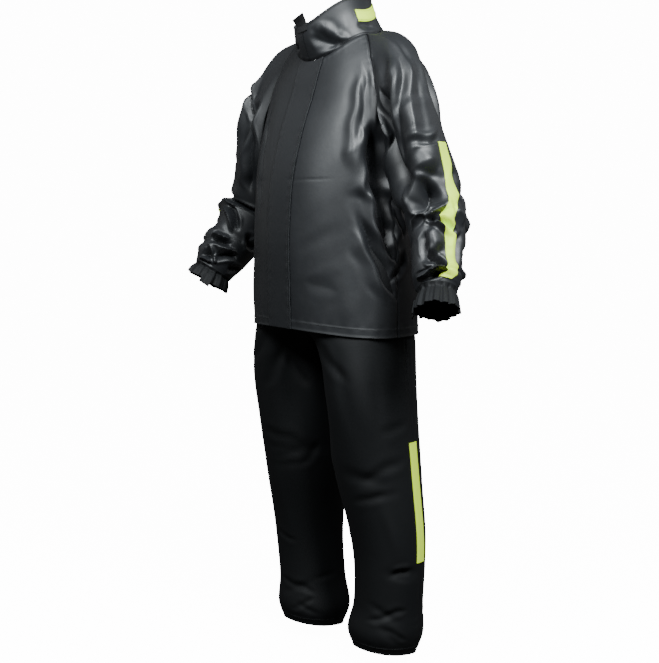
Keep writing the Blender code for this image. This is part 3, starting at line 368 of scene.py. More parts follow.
# Creases, each from one place to another, with how far its middle bows aside. Beside a crease the
# cloth goes a little the other way.
CREASE_COLUMNS = (
    "from_angle", "from_place", "to_angle", "to_place", "bow", "width", "depth",
)
BODY_CREASES = {
    "hollow_rim": (58, 1.290, 64, 1.095, 0.012, 0.0100, 0.0052),
    "side_hollow": (68, 1.290, 82, 1.10, 0.0, 0.024, -0.032),
    "chest_line": (66, 1.43, 57, 1.20, -0.008, 0.012, -0.0032),
    "waist_drag": (60, 1.09, 90, 0.87, 0.0, 0.008, -0.007),
    "waist_drag_second": (73, 1.09, 92, 0.95, 0.0, 0.007, -0.006),
    "hip_ridge": (54, 1.06, 80, 0.87, 0.006, 0.012, 0.004),
    "side_pinch": (84, 1.14, 98, 1.02, 0.004, 0.008, -0.008),
    "side_pinch_low": (100, 1.00, 84, 0.92, 0.004, 0.008, -0.005),
    "right_side_line": (-36, 1.33, -22, 1.06, 0.0, 0.009, -0.006),
    "right_hollow": (-76, 1.25, -84, 1.07, 0.0, 0.020, -0.016),
    "right_hollow_rim": (-60, 1.28, -64, 1.10, 0.006, 0.007, 0.005),
    "right_waist_drag": (-60, 1.09, -90, 0.90, 0.0, 0.010, -0.008),
    "right_side_pinch": (-88, 1.12, -100, 1.01, 0.0, 0.008, -0.007),
    "right_front_dent": (-20, 0.99, -44, 0.95, 0.003, 0.010, -0.0012),
    "front_dent": (20, 0.93, 46, 0.90, 0.003, 0.012, -0.0008),
    "back_hollow_left": (106, 1.25, 98, 1.06, 0.0, 0.016, -0.013),
    "back_hollow_right": (254, 1.24, 262, 1.05, 0.0, 0.018, -0.014),
    "back_drag_left": (120, 1.28, 152, 1.10, 0.010, 0.010, -0.007),
    "back_drag_right": (240, 1.27, 212, 1.07, -0.008, 0.010, -0.007),
    "back_fold_left": (134, 1.14, 140, 0.84, 0.008, 0.011, -0.007),
    "back_fold_right": (226, 1.10, 219, 0.85, -0.006, 0.010, -0.006),
    "back_middle_fold": (182, 1.34, 177, 1.05, 0.006, 0.010, -0.005),
    "back_shoulder_left": (128, 1.42, 150, 1.30, 0.004, 0.008, -0.004),
    "back_shoulder_right": (232, 1.43, 214, 1.30, 0.004, 0.008, -0.004),
    "back_waist_crease": (146, 1.03, 172, 1.00, 0.004, 0.007, -0.004),
    "side_hollow_low": (78, 1.16, 86, 1.00, 0.0, 0.016, -0.022),
    "chest_rise": (57, 1.42, 50, 1.18, -0.006, 0.014, 0.0026),
}
LEFT_ARM_CREASES = {
    "seam_pocket": (90, 0.055, 104, 0.175, 0.004, 0.0110, -0.014),
    "under_hollow": (56, 0.050, 98, 0.310, 0.0, 0.042, -0.036),
    "seam_ridge": (122, 0.055, 116, 0.190, -0.004, 0.014, 0.005),
    "cap_valley": (155, 0.105, 114, 0.225, 0.008, 0.0125, -0.0095),
    "cap_outer_ridge": (172, 0.08, 140, 0.21, 0.004, 0.011, 0.006),
    "tuck": (122, 0.188, 194, 0.186, 0.003, 0.0032, 0.0030),
    "tuck_shadow": (122, 0.196, 192, 0.194, 0.003, 0.0032, -0.0026),
    "elbow_hollow": (88, 0.340, 162, 0.288, 0.010, 0.024, -0.030),
    "upper_arm_edge": (66, 0.402, 160, 0.330, -0.010, 0.0065, 0.010),
    "fold_rim": (106, 0.386, 168, 0.322, 0.004, 0.0058, 0.0075),
    "fold_wedge": (104, 0.398, 170, 0.345, 0.0, 0.0080, -0.012),
    "second_rim": (104, 0.382, 158, 0.418, 0.0, 0.0048, 0.008),
    "bright_facet": (118, 0.398, 136, 0.458, 0.0, 0.019, 0.008),
    "forearm_wedge": (96, 0.452, 172, 0.482, 0.0, 0.0065, -0.014),
    "lower_ridge": (166, 0.480, 66, 0.515, 0.004, 0.0052, 0.011),
    "lower_triangle": (80, 0.522, 152, 0.506, 0.0, 0.0055, -0.012),
    "hem_roll": (50, 0.534, 220, 0.526, 0.0, 0.0055, 0.008),
    "outer_bulge": (172, 0.345, 206, 0.375, 0.0, 0.012, 0.007),
    "outer_hollow": (188, 0.39, 186, 0.475, 0.0, 0.009, -0.007),
    "outer_hollow_high": (196, 0.25, 214, 0.33, 0.0, 0.012, -0.008),
    "back_armhole": (252, 0.05, 238, 0.225, 0.004, 0.010, -0.011),
    "back_seam_ridge": (232, 0.05, 222, 0.19, 0.0, 0.009, 0.005),
    "back_cap": (206, 0.08, 222, 0.20, 0.004, 0.010, -0.006),
    "back_elbow_one": (214, 0.285, 280, 0.335, 0.008, 0.010, -0.010),
    "back_elbow_two": (222, 0.345, 292, 0.372, 0.006, 0.009, 0.008),
    "back_elbow_three": (212, 0.372, 284, 0.398, 0.004, 0.008, -0.010),
    "back_forearm_one": (222, 0.440, 296, 0.428, 0.004, 0.008, -0.009),
    "back_forearm_two": (206, 0.470, 276, 0.484, 0.004, 0.007, 0.007),
    "back_wrist": (214, 0.505, 292, 0.510, 0.004, 0.006, -0.008),
    "inner_elbow_one": (308, 0.320, 364, 0.352, 0.004, 0.009, -0.011),
    "inner_elbow_two": (316, 0.366, 372, 0.380, 0.004, 0.008, 0.007),
    "inner_forearm": (324, 0.425, 392, 0.446, 0.004, 0.008, -0.010),
    "inner_wrist": (334, 0.496, 404, 0.490, 0.004, 0.007, -0.008),
    "second_wedge": (126, 0.388, 176, 0.402, 0.0, 0.0050, -0.010),
    "facet_side": (104, 0.405, 106, 0.462, 0.0, 0.009, -0.006),
    "elbow_brow": (104, 0.245, 170, 0.226, 0.006, 0.013, 0.004),
}
RIGHT_ARM_CREASES = {
    "seam_pocket": (90, 0.06, 108, 0.21, 0.004, 0.009, -0.009),
    "upper_valley": (86, 0.11, 58, 0.285, 0.004, 0.013, -0.010),
    "shoulder_notch": (146, 0.112, 92, 0.120, 0.0, 0.006, -0.008),
    "cap_valley": (158, 0.07, 140, 0.20, 0.004, 0.009, -0.007),
    "cap_ridge": (128, 0.06, 126, 0.20, 0.0, 0.010, 0.005),
    "elbow_under": (116, 0.352, 12, 0.322, 0.006, 0.008, -0.011),
    "elbow_rim": (104, 0.384, 40, 0.442, 0.004, 0.0060, 0.009),
    "elbow_inside": (92, 0.372, 32, 0.426, 0.004, 0.0065, -0.011),
    "facet_edge": (86, 0.473, 32, 0.451, 0.0, 0.0050, 0.007),
    "facet_shadow": (80, 0.487, 24, 0.460, 0.0, 0.0055, -0.010),
    "cross_rise": (80, 0.499, 4, 0.475, 0.0, 0.0060, 0.007),
    "cross_fall": (78, 0.494, 48, 0.508, 0.0, 0.0050, 0.006),
    "cross_shadow": (50, 0.506, -6, 0.482, 0.0, 0.0065, -0.011),
    "dark_patch": (86, 0.519, 50, 0.511, 0.0, 0.0060, -0.010),
    "low_line": (92, 0.527, 42, 0.517, 0.0, 0.0045, 0.006),
    "low_shadow": (90, 0.536, 32, 0.528, 0.0, 0.0045, -0.008),
    "low_bridge": (50, 0.502, 34, 0.520, 0.0, 0.0045, 0.005),
    "outer_elbow": (126, 0.345, 196, 0.365, 0.006, 0.009, -0.010),
    "outer_elbow_roll": (122, 0.378, 190, 0.392, 0.004, 0.009, 0.008),
    "outer_forearm": (118, 0.432, 186, 0.440, 0.004, 0.008, -0.010),
    "outer_wrist": (112, 0.486, 184, 0.492, 0.004, 0.007, -0.008),
    "outer_tuck": (130, 0.232, 196, 0.236, 0.004, 0.005, -0.004),
    "back_armhole": (250, 0.05, 240, 0.225, 0.004, 0.010, -0.011),
    "back_cap": (208, 0.08, 222, 0.20, 0.004, 0.010, -0.006),
    "back_elbow_one": (212, 0.300, 286, 0.330, 0.006, 0.010, -0.010),
    "back_elbow_two": (218, 0.352, 290, 0.366, 0.006, 0.009, 0.007),
    "back_elbow_three": (208, 0.385, 282, 0.398, 0.004, 0.008, -0.010),
    "back_forearm": (214, 0.452, 296, 0.440, 0.004, 0.008, -0.009),
    "back_wrist": (210, 0.508, 290, 0.502, 0.004, 0.006, -0.008),
    "inner_elbow": (310, 0.342, 366, 0.362, 0.004, 0.009, -0.010),
    "inner_forearm": (322, 0.432, 380, 0.420, 0.004, 0.008, -0.009),
    "inner_wrist": (318, 0.500, 366, 0.512, 0.004, 0.007, -0.007),
}
LEFT_LEG_CREASES = {
    "knee": (-6, 0.520, 72, 0.452, 0.006, 0.009, -0.006),
    "knee_second": (28, 0.438, 92, 0.402, 0.004, 0.007, -0.005),
    "knee_outer": (-12, 0.600, 32, 0.572, 0.004, 0.008, -0.004),
    "shin": (-4, 0.246, 46, 0.230, 0.003, 0.006, -0.006),
    "shin_edge": (0, 0.258, 40, 0.242, 0.003, 0.006, 0.003),
    "ankle": (4, 0.150, 84, 0.112, 0.004, 0.007, -0.006),
    "hem_fold": (50, 0.112, 4, 0.070, 0.003, 0.006, -0.005),
    "thigh_drag": (104, 0.800, 58, 0.690, 0.006, 0.011, -0.007),
    "inner_drag": (112, 0.770, 152, 0.680, 0.0, 0.010, -0.007),
    "inner_knee": (152, 0.530, 116, 0.448, 0.004, 0.008, -0.007),
    "inner_calf": (160, 0.360, 128, 0.290, 0.004, 0.008, -0.005),
    "back_knee_one": (-52, 0.515, -132, 0.480, 0.006, 0.010, -0.009),
    "back_knee_two": (-64, 0.455, -146, 0.462, 0.004, 0.009, 0.006),
    "back_knee_three": (-48, 0.432, -128, 0.418, 0.004, 0.008, -0.008),
    "back_seat_one": (-60, 0.800, -120, 0.715, 0.008, 0.011, -0.008),
    "back_seat_two": (-80, 0.740, -142, 0.665, 0.006, 0.009, -0.006),
    "back_ankle": (-36, 0.118, -110, 0.150, 0.004, 0.008, -0.006),
    "back_calf": (-70, 0.340, -86, 0.190, 0.004, 0.009, -0.005),
}
RIGHT_LEG_CREASES = {
    "knee": (66, 0.540, 146, 0.508, 0.006, 0.009, -0.007),
    "knee_second": (84, 0.470, 150, 0.488, 0.004, 0.007, -0.005),
    "knee_outer": (-8, 0.560, 50, 0.515, 0.004, 0.008, -0.005),
    "shin": (60, 0.268, 120, 0.250, 0.003, 0.006, -0.005),
    "ankle": (70, 0.146, 150, 0.120, 0.004, 0.007, -0.006),
    "hem_fold": (142, 0.112, 96, 0.076, 0.003, 0.006, -0.005),
    "thigh_drag": (100, 0.800, 56, 0.700, 0.006, 0.011, -0.006),
    "thigh_drag_two": (118, 0.760, 84, 0.640, 0.004, 0.009, -0.005),
    "inner_drag": (122, 0.740, 158, 0.650, 0.0, 0.010, -0.007),
    "inner_knee": (168, 0.520, 128, 0.452, 0.004, 0.008, -0.006),
    "back_knee_one": (-50, 0.520, -128, 0.486, 0.006, 0.010, -0.009),
    "back_knee_two": (-60, 0.468, -140, 0.452, 0.004, 0.009, 0.006),
    "back_knee_three": (-54, 0.430, -124, 0.424, 0.004, 0.008, -0.007),
    "back_seat_one": (-58, 0.795, -118, 0.720, 0.008, 0.011, -0.008),
    "back_seat_two": (-84, 0.730, -140, 0.672, 0.006, 0.009, -0.006),
    "back_ankle": (-44, 0.130, -116, 0.136, 0.004, 0.008, -0.006),
    "back_calf": (-62, 0.330, -80, 0.200, 0.004, 0.009, -0.005),
}
COLLAR_CREASES = {
    "corner_valley": (10, 1.486, 56, 1.446, -0.004, 0.0110, -0.0060),
    "corner_ridge": (30, 1.512, 62, 1.462, 0.003, 0.0090, 0.0035),
    "front_corner": (14, 1.500, 40, 1.470, 0.002, 0.008, -0.0020),
    "side_dent": (78, 1.500, 112, 1.512, 0.002, 0.007, -0.0030),
    "right_corner_valley": (-14, 1.462, -58, 1.446, -0.003, 0.006, -0.0050),
    "right_side_dent": (-84, 1.505, -116, 1.520, 0.002, 0.007, -0.0030),
    "back_dent": (150, 1.555, 188, 1.566, 0.002, 0.007, -0.0025),
}
# How deep all creases are against their rows, and those of the legs against that. A crease fades
# out over a share of its length at both ends, and is narrower there.
CREASE_GAIN = 1.5
LEG_CREASE_SHARE = 0.4
CREASE_TAPER = 0.3
CREASE_END_WIDTH = 0.5
# How sharp a crease's bottom is, and the share, place and width of the rise beside it, the last
# two in widths of the crease.
CREASE_SHARPNESS = 1.5
SHOULDER_SHARE = 0.26
SHOULDER_PLACE = 2.1
SHOULDER_WIDTH = 0.9
# Creases wander by this much, over these lengths up the cloth and round it.
WANDER = 0.0026
WANDER_LENGTHS = (0.071, 0.083)
WANDER_PHASES = (1.3, 0.7)

BODY_FORMS = (BODY_FOLDS, BODY_CREASES)
COLLAR_FORMS = (COLLAR_FOLDS, COLLAR_CREASES)
# One entry for each side: 1 is the wearer's left and -1 the right.
SIDES = ((1, "left"), (-1, "right"))
ARMS = {1: LEFT_ARM, -1: RIGHT_ARM}
ARM_FORMS = {1: (LEFT_ARM_FOLDS, LEFT_ARM_CREASES), -1: (RIGHT_ARM_FOLDS, RIGHT_ARM_CREASES)}
LEG_FORMS = {1: (LEFT_LEG_FOLDS, LEFT_LEG_CREASES), -1: (RIGHT_LEG_FOLDS, RIGHT_LEG_CREASES)}
MIRROR = np.array([-1.0, 1.0, 1.0])
ARM_END = len(LEFT_ARM)

# How the cloth lies at a seam: it dips to the seam line, and puckers a little beside it. The
# pucker is this many waves of chance lengths, which swell over a longer one.
SEAM_DIP = 0.0011
SEAM_DIP_WIDTH = 0.0028
SEAM_RISE = 0.0005
SEAM_RISE_PLACE = 0.0065
SEAM_RISE_WIDTH = 0.0035
PUCKER_WIDTH = 0.016
PUCKER_START = 0.003
PUCKER_WAVES = 4
PUCKER_LENGTHS = (0.012, 0.034)
PUCKER_SWELL = 0.4
PUCKER_SWELL_LENGTH = 5.3
COLLAR_PUCKER_SHARE = 1.3

# A hem is doubled cloth as deep as this, with a turned edge and a faint ripple at its stitching.
HEM_DEPTH = 0.020
HEM_THICKNESS = 0.0008
HEM_STEP = 0.004
HEM_EDGE = 0.0010
HEM_EDGE_WIDTH = 0.0035
HEM_RIPPLE = 0.0004
HEM_RIPPLE_LENGTH = 0.031
HEM_RIPPLE_WIDTH = 0.008

# Free edges: the flap's rolls over and waves, the collar's is turned, and a strip's are sewn down.
FLAP_ROLL = 0.0008
FLAP_ROLL_RATE = 5.1
FLAP_ROLL_PHASE = 0.6
FLAP_EDGE = 0.0007
FLAP_WAVE_SHARE = 0.5
FLAP_WAVE_LENGTH = 0.027
FLAP_WAVE_PLACE = 0.007
FLAP_WAVE_WIDTH = 0.006
COLLAR_EDGE = 0.0008
EDGE_WIDTH = 0.004
STRIP_SINK = 0.0006
LEG_STRIP_SINK = 0.0005
STRIP_EDGE_SHARE = 0.12
COLLAR_STRIP_EDGE = 0.002
CUFF_PINCH = 0.0012
CUFF_PINCH_WIDTH = 0.22

# Slow unevenness of the cloth: this many waves, of these lengths and this height in all. They run
# less up and down than across.
DRIFT_WAVES = 9
DRIFT_LENGTHS = (0.05, 0.16)
DRIFT_HEIGHT = 0.0011
DRIFT_DIRECTIONS = np.array([1.0, 1.0, 0.6])
DRIFT_FADE = 0.05
COLLAR_DRIFT_SHARE = 0.7
DRIFT_SEEDS = {"front": 3, "back": 5, "collar": 31, "sleeve": 41, "leg": 61}
PUCKER_SEEDS = {"front": 11, "back": 15, "flap": 21, "collar": 33, "sleeve": 43, "leg": 63}

# How the grids are divided.
BODY_LOW_ROWS = 165
BODY_HIGH_ROWS = 80
FRONT_COLUMNS = 88
BACK_COLUMNS = 140
FLAP_COLUMNS = 26
COLLAR_ROWS = 30
COLLAR_COLUMNS = 190
COLLAR_STRIP_GRID = (8, 110)
TAB_GRID = (7, 25)
TAB_RISING_ROWS = 12
CAP_ROWS = 64
ARM_ROWS = 140
ARM_COLUMNS_ROUND = 164
STRIP_COLUMNS = 9
SLEEVE_STRIP_ROWS = 120
LEG_STRIP_ROWS = 90
CUFF_ROWS = 26
CUFF_COLUMNS_A_GATHER = 12
CUFF_TAB_GRID = (9, 13)
CUFF_TAB_HANGING_ROWS = 8
LEG_ROWS_LOW = 150
LEG_ROWS_HIGH = 30
LEG_COLUMNS_A_PANEL = 60
BAND_ROWS = 14
BAND_COLUMNS_A_GATHER = 8
EDGE_CROWDING = 0.62
SHARP_ANGLE = 55

# Steps over which a surface's slopes are measured: degrees, shares of a turn and row numbers.
ANGLE_STEP = 0.7
LEVEL_STEP = 0.015
LEG_ANGLE_STEP = 1.5
LEG_LEVEL_STEP = 0.03
TURN_STEP = 0.01
REACH_STEP = 0.03
ARM_STEP = 0.05
STITCH_TURN_STEP = 0.004

# Stitch lines: how far each stands over its cloth's surface, where the raglan, hem, collar and
# trouser hem lines lie, in row numbers, the angles between which they run, and their points.
STITCH_LIFT = 0.0011
RAGLAN_STITCH_LIFT = 0.0009
COLLAR_STITCH_LIFT = 0.0010
STRIP_STITCH_LIFT = TRIM + LAID_GAP + 0.0003
RAGLAN_STITCH_REACH = 0.042
RAGLAN_STITCH_TURNS = ((0.012, SEAM_SHARE - 0.004), (1 - SEAM_SHARE + 0.004, 0.988))
HEM_STITCH_LEVEL = 0.19
COLLAR_STITCH_LEVELS = (2.86, 0.16)
COLLAR_STRIP_INSET = 0.09
LEG_STITCH_LEVEL = 0.44
FLAP_STITCH_COLUMNS = (12, -4)
HEM_STITCH_ENDS = (-88, 268)
COLLAR_STITCH_ENDS = (3, 357)
COLLAR_STRIP_STITCH_ENDS = (86.0, 274.0)
LEG_STITCH_ENDS = (-180, 180)
RAGLAN_STITCH_POINTS = 170
HEM_STITCH_POINTS = 420
COLLAR_STITCH_POINTS = 260
COLLAR_STRIP_STITCH_POINTS = 150
LEG_STITCH_POINTS = 200

# Lamps: where each stands, to the camera's right, towards the camera and up from the origin, the
# height that it faces on the middle line, its size and its colour.
COOL_LIGHT = (0.93, 0.98, 1.0)
WHITE_LIGHT = (1, 1, 1)
LAMP_COLUMNS = ("right", "ahead", "up", "aim", "wide", "tall", "colour")
LAMPS = {
    "key": (0.9, 1.8, 1.5, 0.1, 1.0, 1.0, COOL_LIGHT),
    "left": (-1.2, 1.7, 1.3, 0.0, 0.8, 0.8, COOL_LIGHT),
    "fill": (-2.6, -1.4, 0.6, -0.45, 0.6, 2.4, WHITE_LIGHT),
    "rim": (2.6, -1.2, 0.9, -0.3, 0.5, 2.2, WHITE_LIGHT),
}


def hermite(t, start, leaving, end, arriving):
    """A smooth curve from start to end that leaves and arrives in the given directions."""
    return (
        (1 + 2 * t) * (1 - t) ** 2 * start
        + t * (1 - t) ** 2 * leaving
        + t * t * (3 - 2 * t) * end
        + t * t * (t - 1) * arriving
    )


def columns(table, names, level):
    """Each named column of a table at fractional row numbers, on a smooth curve through the rows."""
    rows = np.array(list(table.values()), float)
    slopes = np.gradient(rows, axis=0)
    level = np.clip(np.asarray(level, float), 0, len(rows) - 1)
    low = np.minimum(level.astype(int), len(rows) - 2)
    t = (level - low)[..., None]
    value = hermite(t, rows[low], slopes[low], rows[low + 1], slopes[low + 1])
    return {name: value[..., i] for i, name in enumerate(names)}


def paired(first, second):
    """Two arrays of numbers, spread over one shape."""
    return np.broadcast_arrays(np.asarray(first, float), np.asarray(second, float))


def unit(vectors):
    """Vectors made one metre long."""
    return vectors / np.maximum(np.linalg.norm(vectors, axis=-1, keepdims=True), 1e-12)


def power(value, exponent):
    """A signed power, which squares a circle's sine and cosine into a fuller ring."""
    return np.sign(value) * np.abs(value) ** exponent


def smooth_step(value):
    """0 below 0, 1 above 1, and smooth between."""
    value = np.clip(value, 0, 1)
    return value * value * (3 - 2 * value)


def bell(away, width, place=0.0):
    """1 at a place, fading to almost 0 two widths away from it."""
    return np.exp(-(((away - place) / width) ** 2))


def raised(points, outward, height):
    """The points moved outwards, each by its own height."""
    return points + outward * height[..., None]


def on_side(side, *grids):
    """Grids that were worked out as if on the left, put on their own side."""
    return grids if side > 0 else tuple(grid * MIRROR for grid in grids)


def girth(wide, deep):
    """The length round a ring with these half sizes."""
    return 2 * math.pi * np.sqrt((wide**2 + deep**2) / 2)


def slopes_of(surface, u, v, du, dv):
    """The two tangents of a surface, by central differences."""
    return surface(u + du, v) - surface(u - du, v), surface(u, v + dv) - surface(u, v - dv)


def fold_depth(folds, angle, place, radius):
    """How far the folds move the cloth out, at an angle round and a place along a tube."""
    total = np.zeros(np.broadcast(angle, place).shape)
    for row in folds.values():
        fold = dict(zip(FOLD_COLUMNS, row))
        around = radius * np.radians((angle - fold["angle"] + 180) % 360 - 180)
        up = place - fold["place"]
        lean = math.radians(fold["lean"])
        along = up * math.cos(lean) + around * math.sin(lean)
        across = around * math.cos(lean) - up * math.sin(lean)
        taper = np.clip(1 - (2 * along / fold["length"]) ** 2, 0, None) ** 2
        total = total + fold["depth"] * bell(across, fold["width"]) * taper
    return total


def crease_depth(creases, angle, place, radius):
    """How far the creases move the cloth out, at an angle round and a place along a tube."""
    total = np.zeros(np.broadcast(angle, place).shape)
    up_length, round_length = WANDER_LENGTHS
    up_phase, round_phase = WANDER_PHASES
    wandering = WANDER * np.sin(2 * math.pi * place / up_length + up_phase)
    lifting = WANDER * np.sin(2 * math.pi * radius * np.radians(angle) / round_length + round_phase)
    for row in creases.values():
        crease = dict(zip(CREASE_COLUMNS, row))
        middle = (crease["from_angle"] + crease["to_angle"]) / 2
        half = radius * math.radians(crease["to_angle"] - crease["from_angle"]) / 2
        rise = crease["to_place"] - crease["from_place"]
        length = math.hypot(2 * half, rise)
        step_round, step_up = 2 * half / length, rise / length
        around = radius * np.radians((angle - middle + 180) % 360 - 180) + half + wandering
        up = place - crease["from_place"] + lifting
        along = (around * step_round + up * step_up) / length
        across = up * step_round - around * step_up - crease["bow"] * 4 * along * (1 - along)
        taper = smooth_step(along / CREASE_TAPER) * smooth_step((1 - along) / CREASE_TAPER)
        width = crease["width"] * (CREASE_END_WIDTH + (1 - CREASE_END_WIDTH) * taper)
        away = np.abs(across) / width
        shape = np.exp(-(away**CREASE_SHARPNESS))
        shape = shape - SHOULDER_SHARE * bell(away, SHOULDER_WIDTH, SHOULDER_PLACE)
        total = total + crease["depth"] * taper * shape
    return total * CREASE_GAIN


def relief(forms, angle, place, radius, crease_share=1.0):
    """How far a surface's folds and creases together move the cloth out."""
    folds, creases = forms
    depth = fold_depth(folds, angle, place, radius)
    return depth + crease_share * crease_depth(creases, angle, place, radius)


def drift(points, seed):
    """A slow unevenness over a piece, from a few waves that run different ways."""
    chance = np.random.default_rng(seed)
    total = np.zeros(points.shape[:-1])
    for _ in range(DRIFT_WAVES):
        direction = unit(chance.normal(size=3) * DRIFT_DIRECTIONS)
        length = chance.uniform(*DRIFT_LENGTHS)
        phase = chance.uniform(0, 2 * math.pi)
        total = total + np.sin(points @ direction * 2 * math.pi / length + phase)
    return total * DRIFT_HEIGHT / DRIFT_WAVES


def ring_point(table, angle, level):
    """A point of the body or the collar, at an angle in degrees from the front towards the left."""
    ring = columns(table, BODY_COLUMNS, level)
    sine, cosine = np.sin(np.radians(angle)), np.cos(np.radians(angle))
    rounding = 2 / ring["square"]
    depth = np.where(cosine > 0, ring["ahead"], ring["behind"])
    height = (
        ring["side"]
        + (ring["front"] - ring["side"]) * np.maximum(cosine, 0) ** 2
        + (ring["back"] - ring["side"]) * np.maximum(-cosine, 0) ** 2
        + ring["tilt"] * sine
    )
    x = ring["half_width"] * power(sine, rounding)
    y = ring["middle"] - depth * power(cosine, rounding)
    return np.stack([x, y, height - ORIGIN_HEIGHT], -1)


def normal_of(surface, angle, level):
    """The outward direction of the body or the collar."""
    angle, level = paired(angle, level)
    around, upward = slopes_of(surface, angle, level, ANGLE_STEP, LEVEL_STEP)
    return unit(np.cross(around, upward))


def folded(rings, forms, radius, angle, level, fade):
    """A ring surface with its folds and creases."""
    plain = partial(ring_point, rings)
    angle, level = paired(angle, level)
    point = plain(angle, level)
    depth = relief(forms, angle, point[..., 2] + ORIGIN_HEIGHT, radius)
    return raised(point, normal_of(plain, angle, level), depth * fade(level))


def body(angle, level):
    """The jacket body's outer face."""
    return folded(
        BODY_RINGS, BODY_FORMS, BODY_RADIUS, angle, level,
        lambda at: smooth_step((NECK_LEVEL - at) / NECK_FADE),
    )


def collar(angle, level):
    """The collar's outer face. Level 0 is the neck seam."""
    return folded(
        COLLAR_RINGS, COLLAR_FORMS, COLLAR_RADIUS, angle, level,
        lambda at: smooth_step(at / NECK_FADE),
    )


def raglan_front(level):
    """The angle of the raglan seam on the front, at each level."""
    return np.interp(level, RAGLAN_LEVELS, RAGLAN_FRONT)


def raglan_back(level):
    """The angle of the raglan seam on the back, at each level."""
    return np.interp(level, RAGLAN_LEVELS, RAGLAN_BACK)


# A sleeve is worked out as a left one and mirrored. turn runs from 0 at the underarm, forwards
# over the shoulder at 0.5, and back to 1. reach is 0 at the raglan seam and 1 at the upper ring.
def armhole_place(turn):
    """Angle and level on the body of the raglan seam, and of the piece of neck seam above it."""
    turn = np.asarray(turn, float) % 1.0
    front = turn < SEAM_SHARE
    back = turn > 1 - SEAM_SHARE
    share = np.where(front, turn, np.where(back, 1 - turn, SEAM_SHARE)) / SEAM_SHARE
    level = UNDERARM_LEVEL + (NECK_LEVEL - UNDERARM_LEVEL) * share
    ahead, behind = raglan_front(level), raglan_back(level)
    over = (turn - SEAM_SHARE) / (1 - 2 * SEAM_SHARE)
    angle = np.where(front, ahead, np.where(back, behind, ahead + (behind - ahead) * over))
    return angle, level


def armhole(side, turn):
    """The raglan seam's points and the body's outward direction there, as if on the left."""
    angle, level = armhole_place(turn)
    return on_side(side, body(side * angle, level), normal_of(body, side * angle, level))


def arm_frame(arm, level):
    """Centre, direction, outward and forward axes, and half sizes of the arm's rings."""
    rings = [
        columns(arm, ARM_COLUMNS, np.asarray(level) + step) for step in (0, ARM_STEP, -ARM_STEP)
    ]
    centre, later, earlier = (
        np.stack([ring["x"], ring["y"], ring["height"] - ORIGIN_HEIGHT], -1) for ring in rings
    )
    along = unit(later - earlier)
    outward = np.array([1.0, 0.0, 0.0])
    outward = unit(outward - along * (along @ outward)[..., None])
    forward = np.cross(along, outward)
    return centre, along, outward, forward, rings[0]["wide"], rings[0]["deep"]


def arm_ring(arm, turn, level):
    """A point of the sleeve below its upper ring, with no folds."""
    centre, _, outward, forward, wide, deep = arm_frame(arm, level)
    angle = 2 * math.pi * np.asarray(turn)
    return (
        centre
        - outward * (wide * np.cos(angle))[..., None]
        + forward * (deep * np.sin(angle))[..., None]
    )


def plain_sleeve(side, turn, reach):
    """A sleeve with no folds: a cap from the raglan seam to the upper ring, then the arm's rings."""
    arm = ARMS[side]
    turn, reach = paired(turn, reach)
    start, outward = armhole(side, turn)
    end = arm_ring(arm, turn, np.zeros(turn.shape))
    along = arm_frame(arm, np.zeros(turn.shape))[1]
    chord = end - start
    length = np.linalg.norm(chord, axis=-1, keepdims=True)
    leaving = unit(chord - outward * (chord * outward).sum(-1, keepdims=True))
    under = bell((turn + 0.5) % 1.0 - 0.5, UNDERARM_SPREAD)[..., None]
    over = bell(turn, SHOULDER_SPREAD, 0.5)[..., None]
    leaving = unit(leaving + outward * UNDERARM_PUSH * under + SHOULDER_PUSH * over)
    leaving = leaving * length * CAP_FULLNESS
    arriving = along * length * CAP_FULLNESS
    cap = hermite(np.clip(reach, 0, 1)[..., None], start, leaving, end, arriving)
    below = arm_ring(arm, turn, np.maximum(reach - 1, 0))
    return np.where((reach < 1)[..., None], cap, below)


def sleeve_length(side, reach):
    """Metres along the sleeve from the raglan seam, for placing folds."""
    rows = np.array([row[:3] for row in ARMS[side].values()])
    steps = np.linalg.norm(np.diff(rows, axis=0), axis=1)
    marks = np.concatenate([[0.0, CAP_LENGTH], CAP_LENGTH + np.cumsum(steps)])
    return np.interp(reach, np.arange(len(marks)), marks)


def sleeve(side, turn, reach):
    """A sleeve's outer face, as if on the left."""
    turn, reach = paired(turn, reach)
    point = plain_sleeve(side, turn, reach)
    around, down = slopes_of(partial(plain_sleeve, side), turn, reach, TURN_STEP, REACH_STEP)
    depth = relief(ARM_FORMS[side], turn * 360, sleeve_length(side, reach), ARM_RADIUS)
    depth = depth * smooth_step(reach / CAP_FADE) * smooth_step((ARM_END - reach) / WRIST_FADE)
    return raised(point, unit(np.cross(down, around)), depth)


def leg_inner_angle(level):
    """Where a leg's ring meets the inseam or, above the crotch, the middle line, in degrees."""
    ring = columns(LEG_RINGS, LEG_COLUMNS, level)
    share = np.clip(np.maximum(ring["x"], 0) / ring["half_width"], 0, 1) ** (ring["square"] / 2)
    angle = 180 - np.degrees(np.arccos(share))
    return np.where(np.asarray(level) <= CROTCH_LEVEL + SMALL, 180.0, angle)


def plain_leg(angle, level):
    """A left leg with no folds. 0 degrees is the outseam, 90 the front and 180 the inseam."""
    angle, level = paired(angle, level)
    ring = columns(LEG_RINGS, LEG_COLUMNS, level)
    sine, cosine = np.sin(np.radians(angle)), np.cos(np.radians(angle))
    rounding = 2 / ring["square"]
    x = np.maximum(ring["x"], 0) + ring["half_width"] * power(cosine, rounding)
    y = ring["y"] - ring["half_depth"] * power(sine, rounding)
    z = ring["height"] + ring["lift"] * sine - ORIGIN_HEIGHT
    return np.stack([x, y, z], -1)


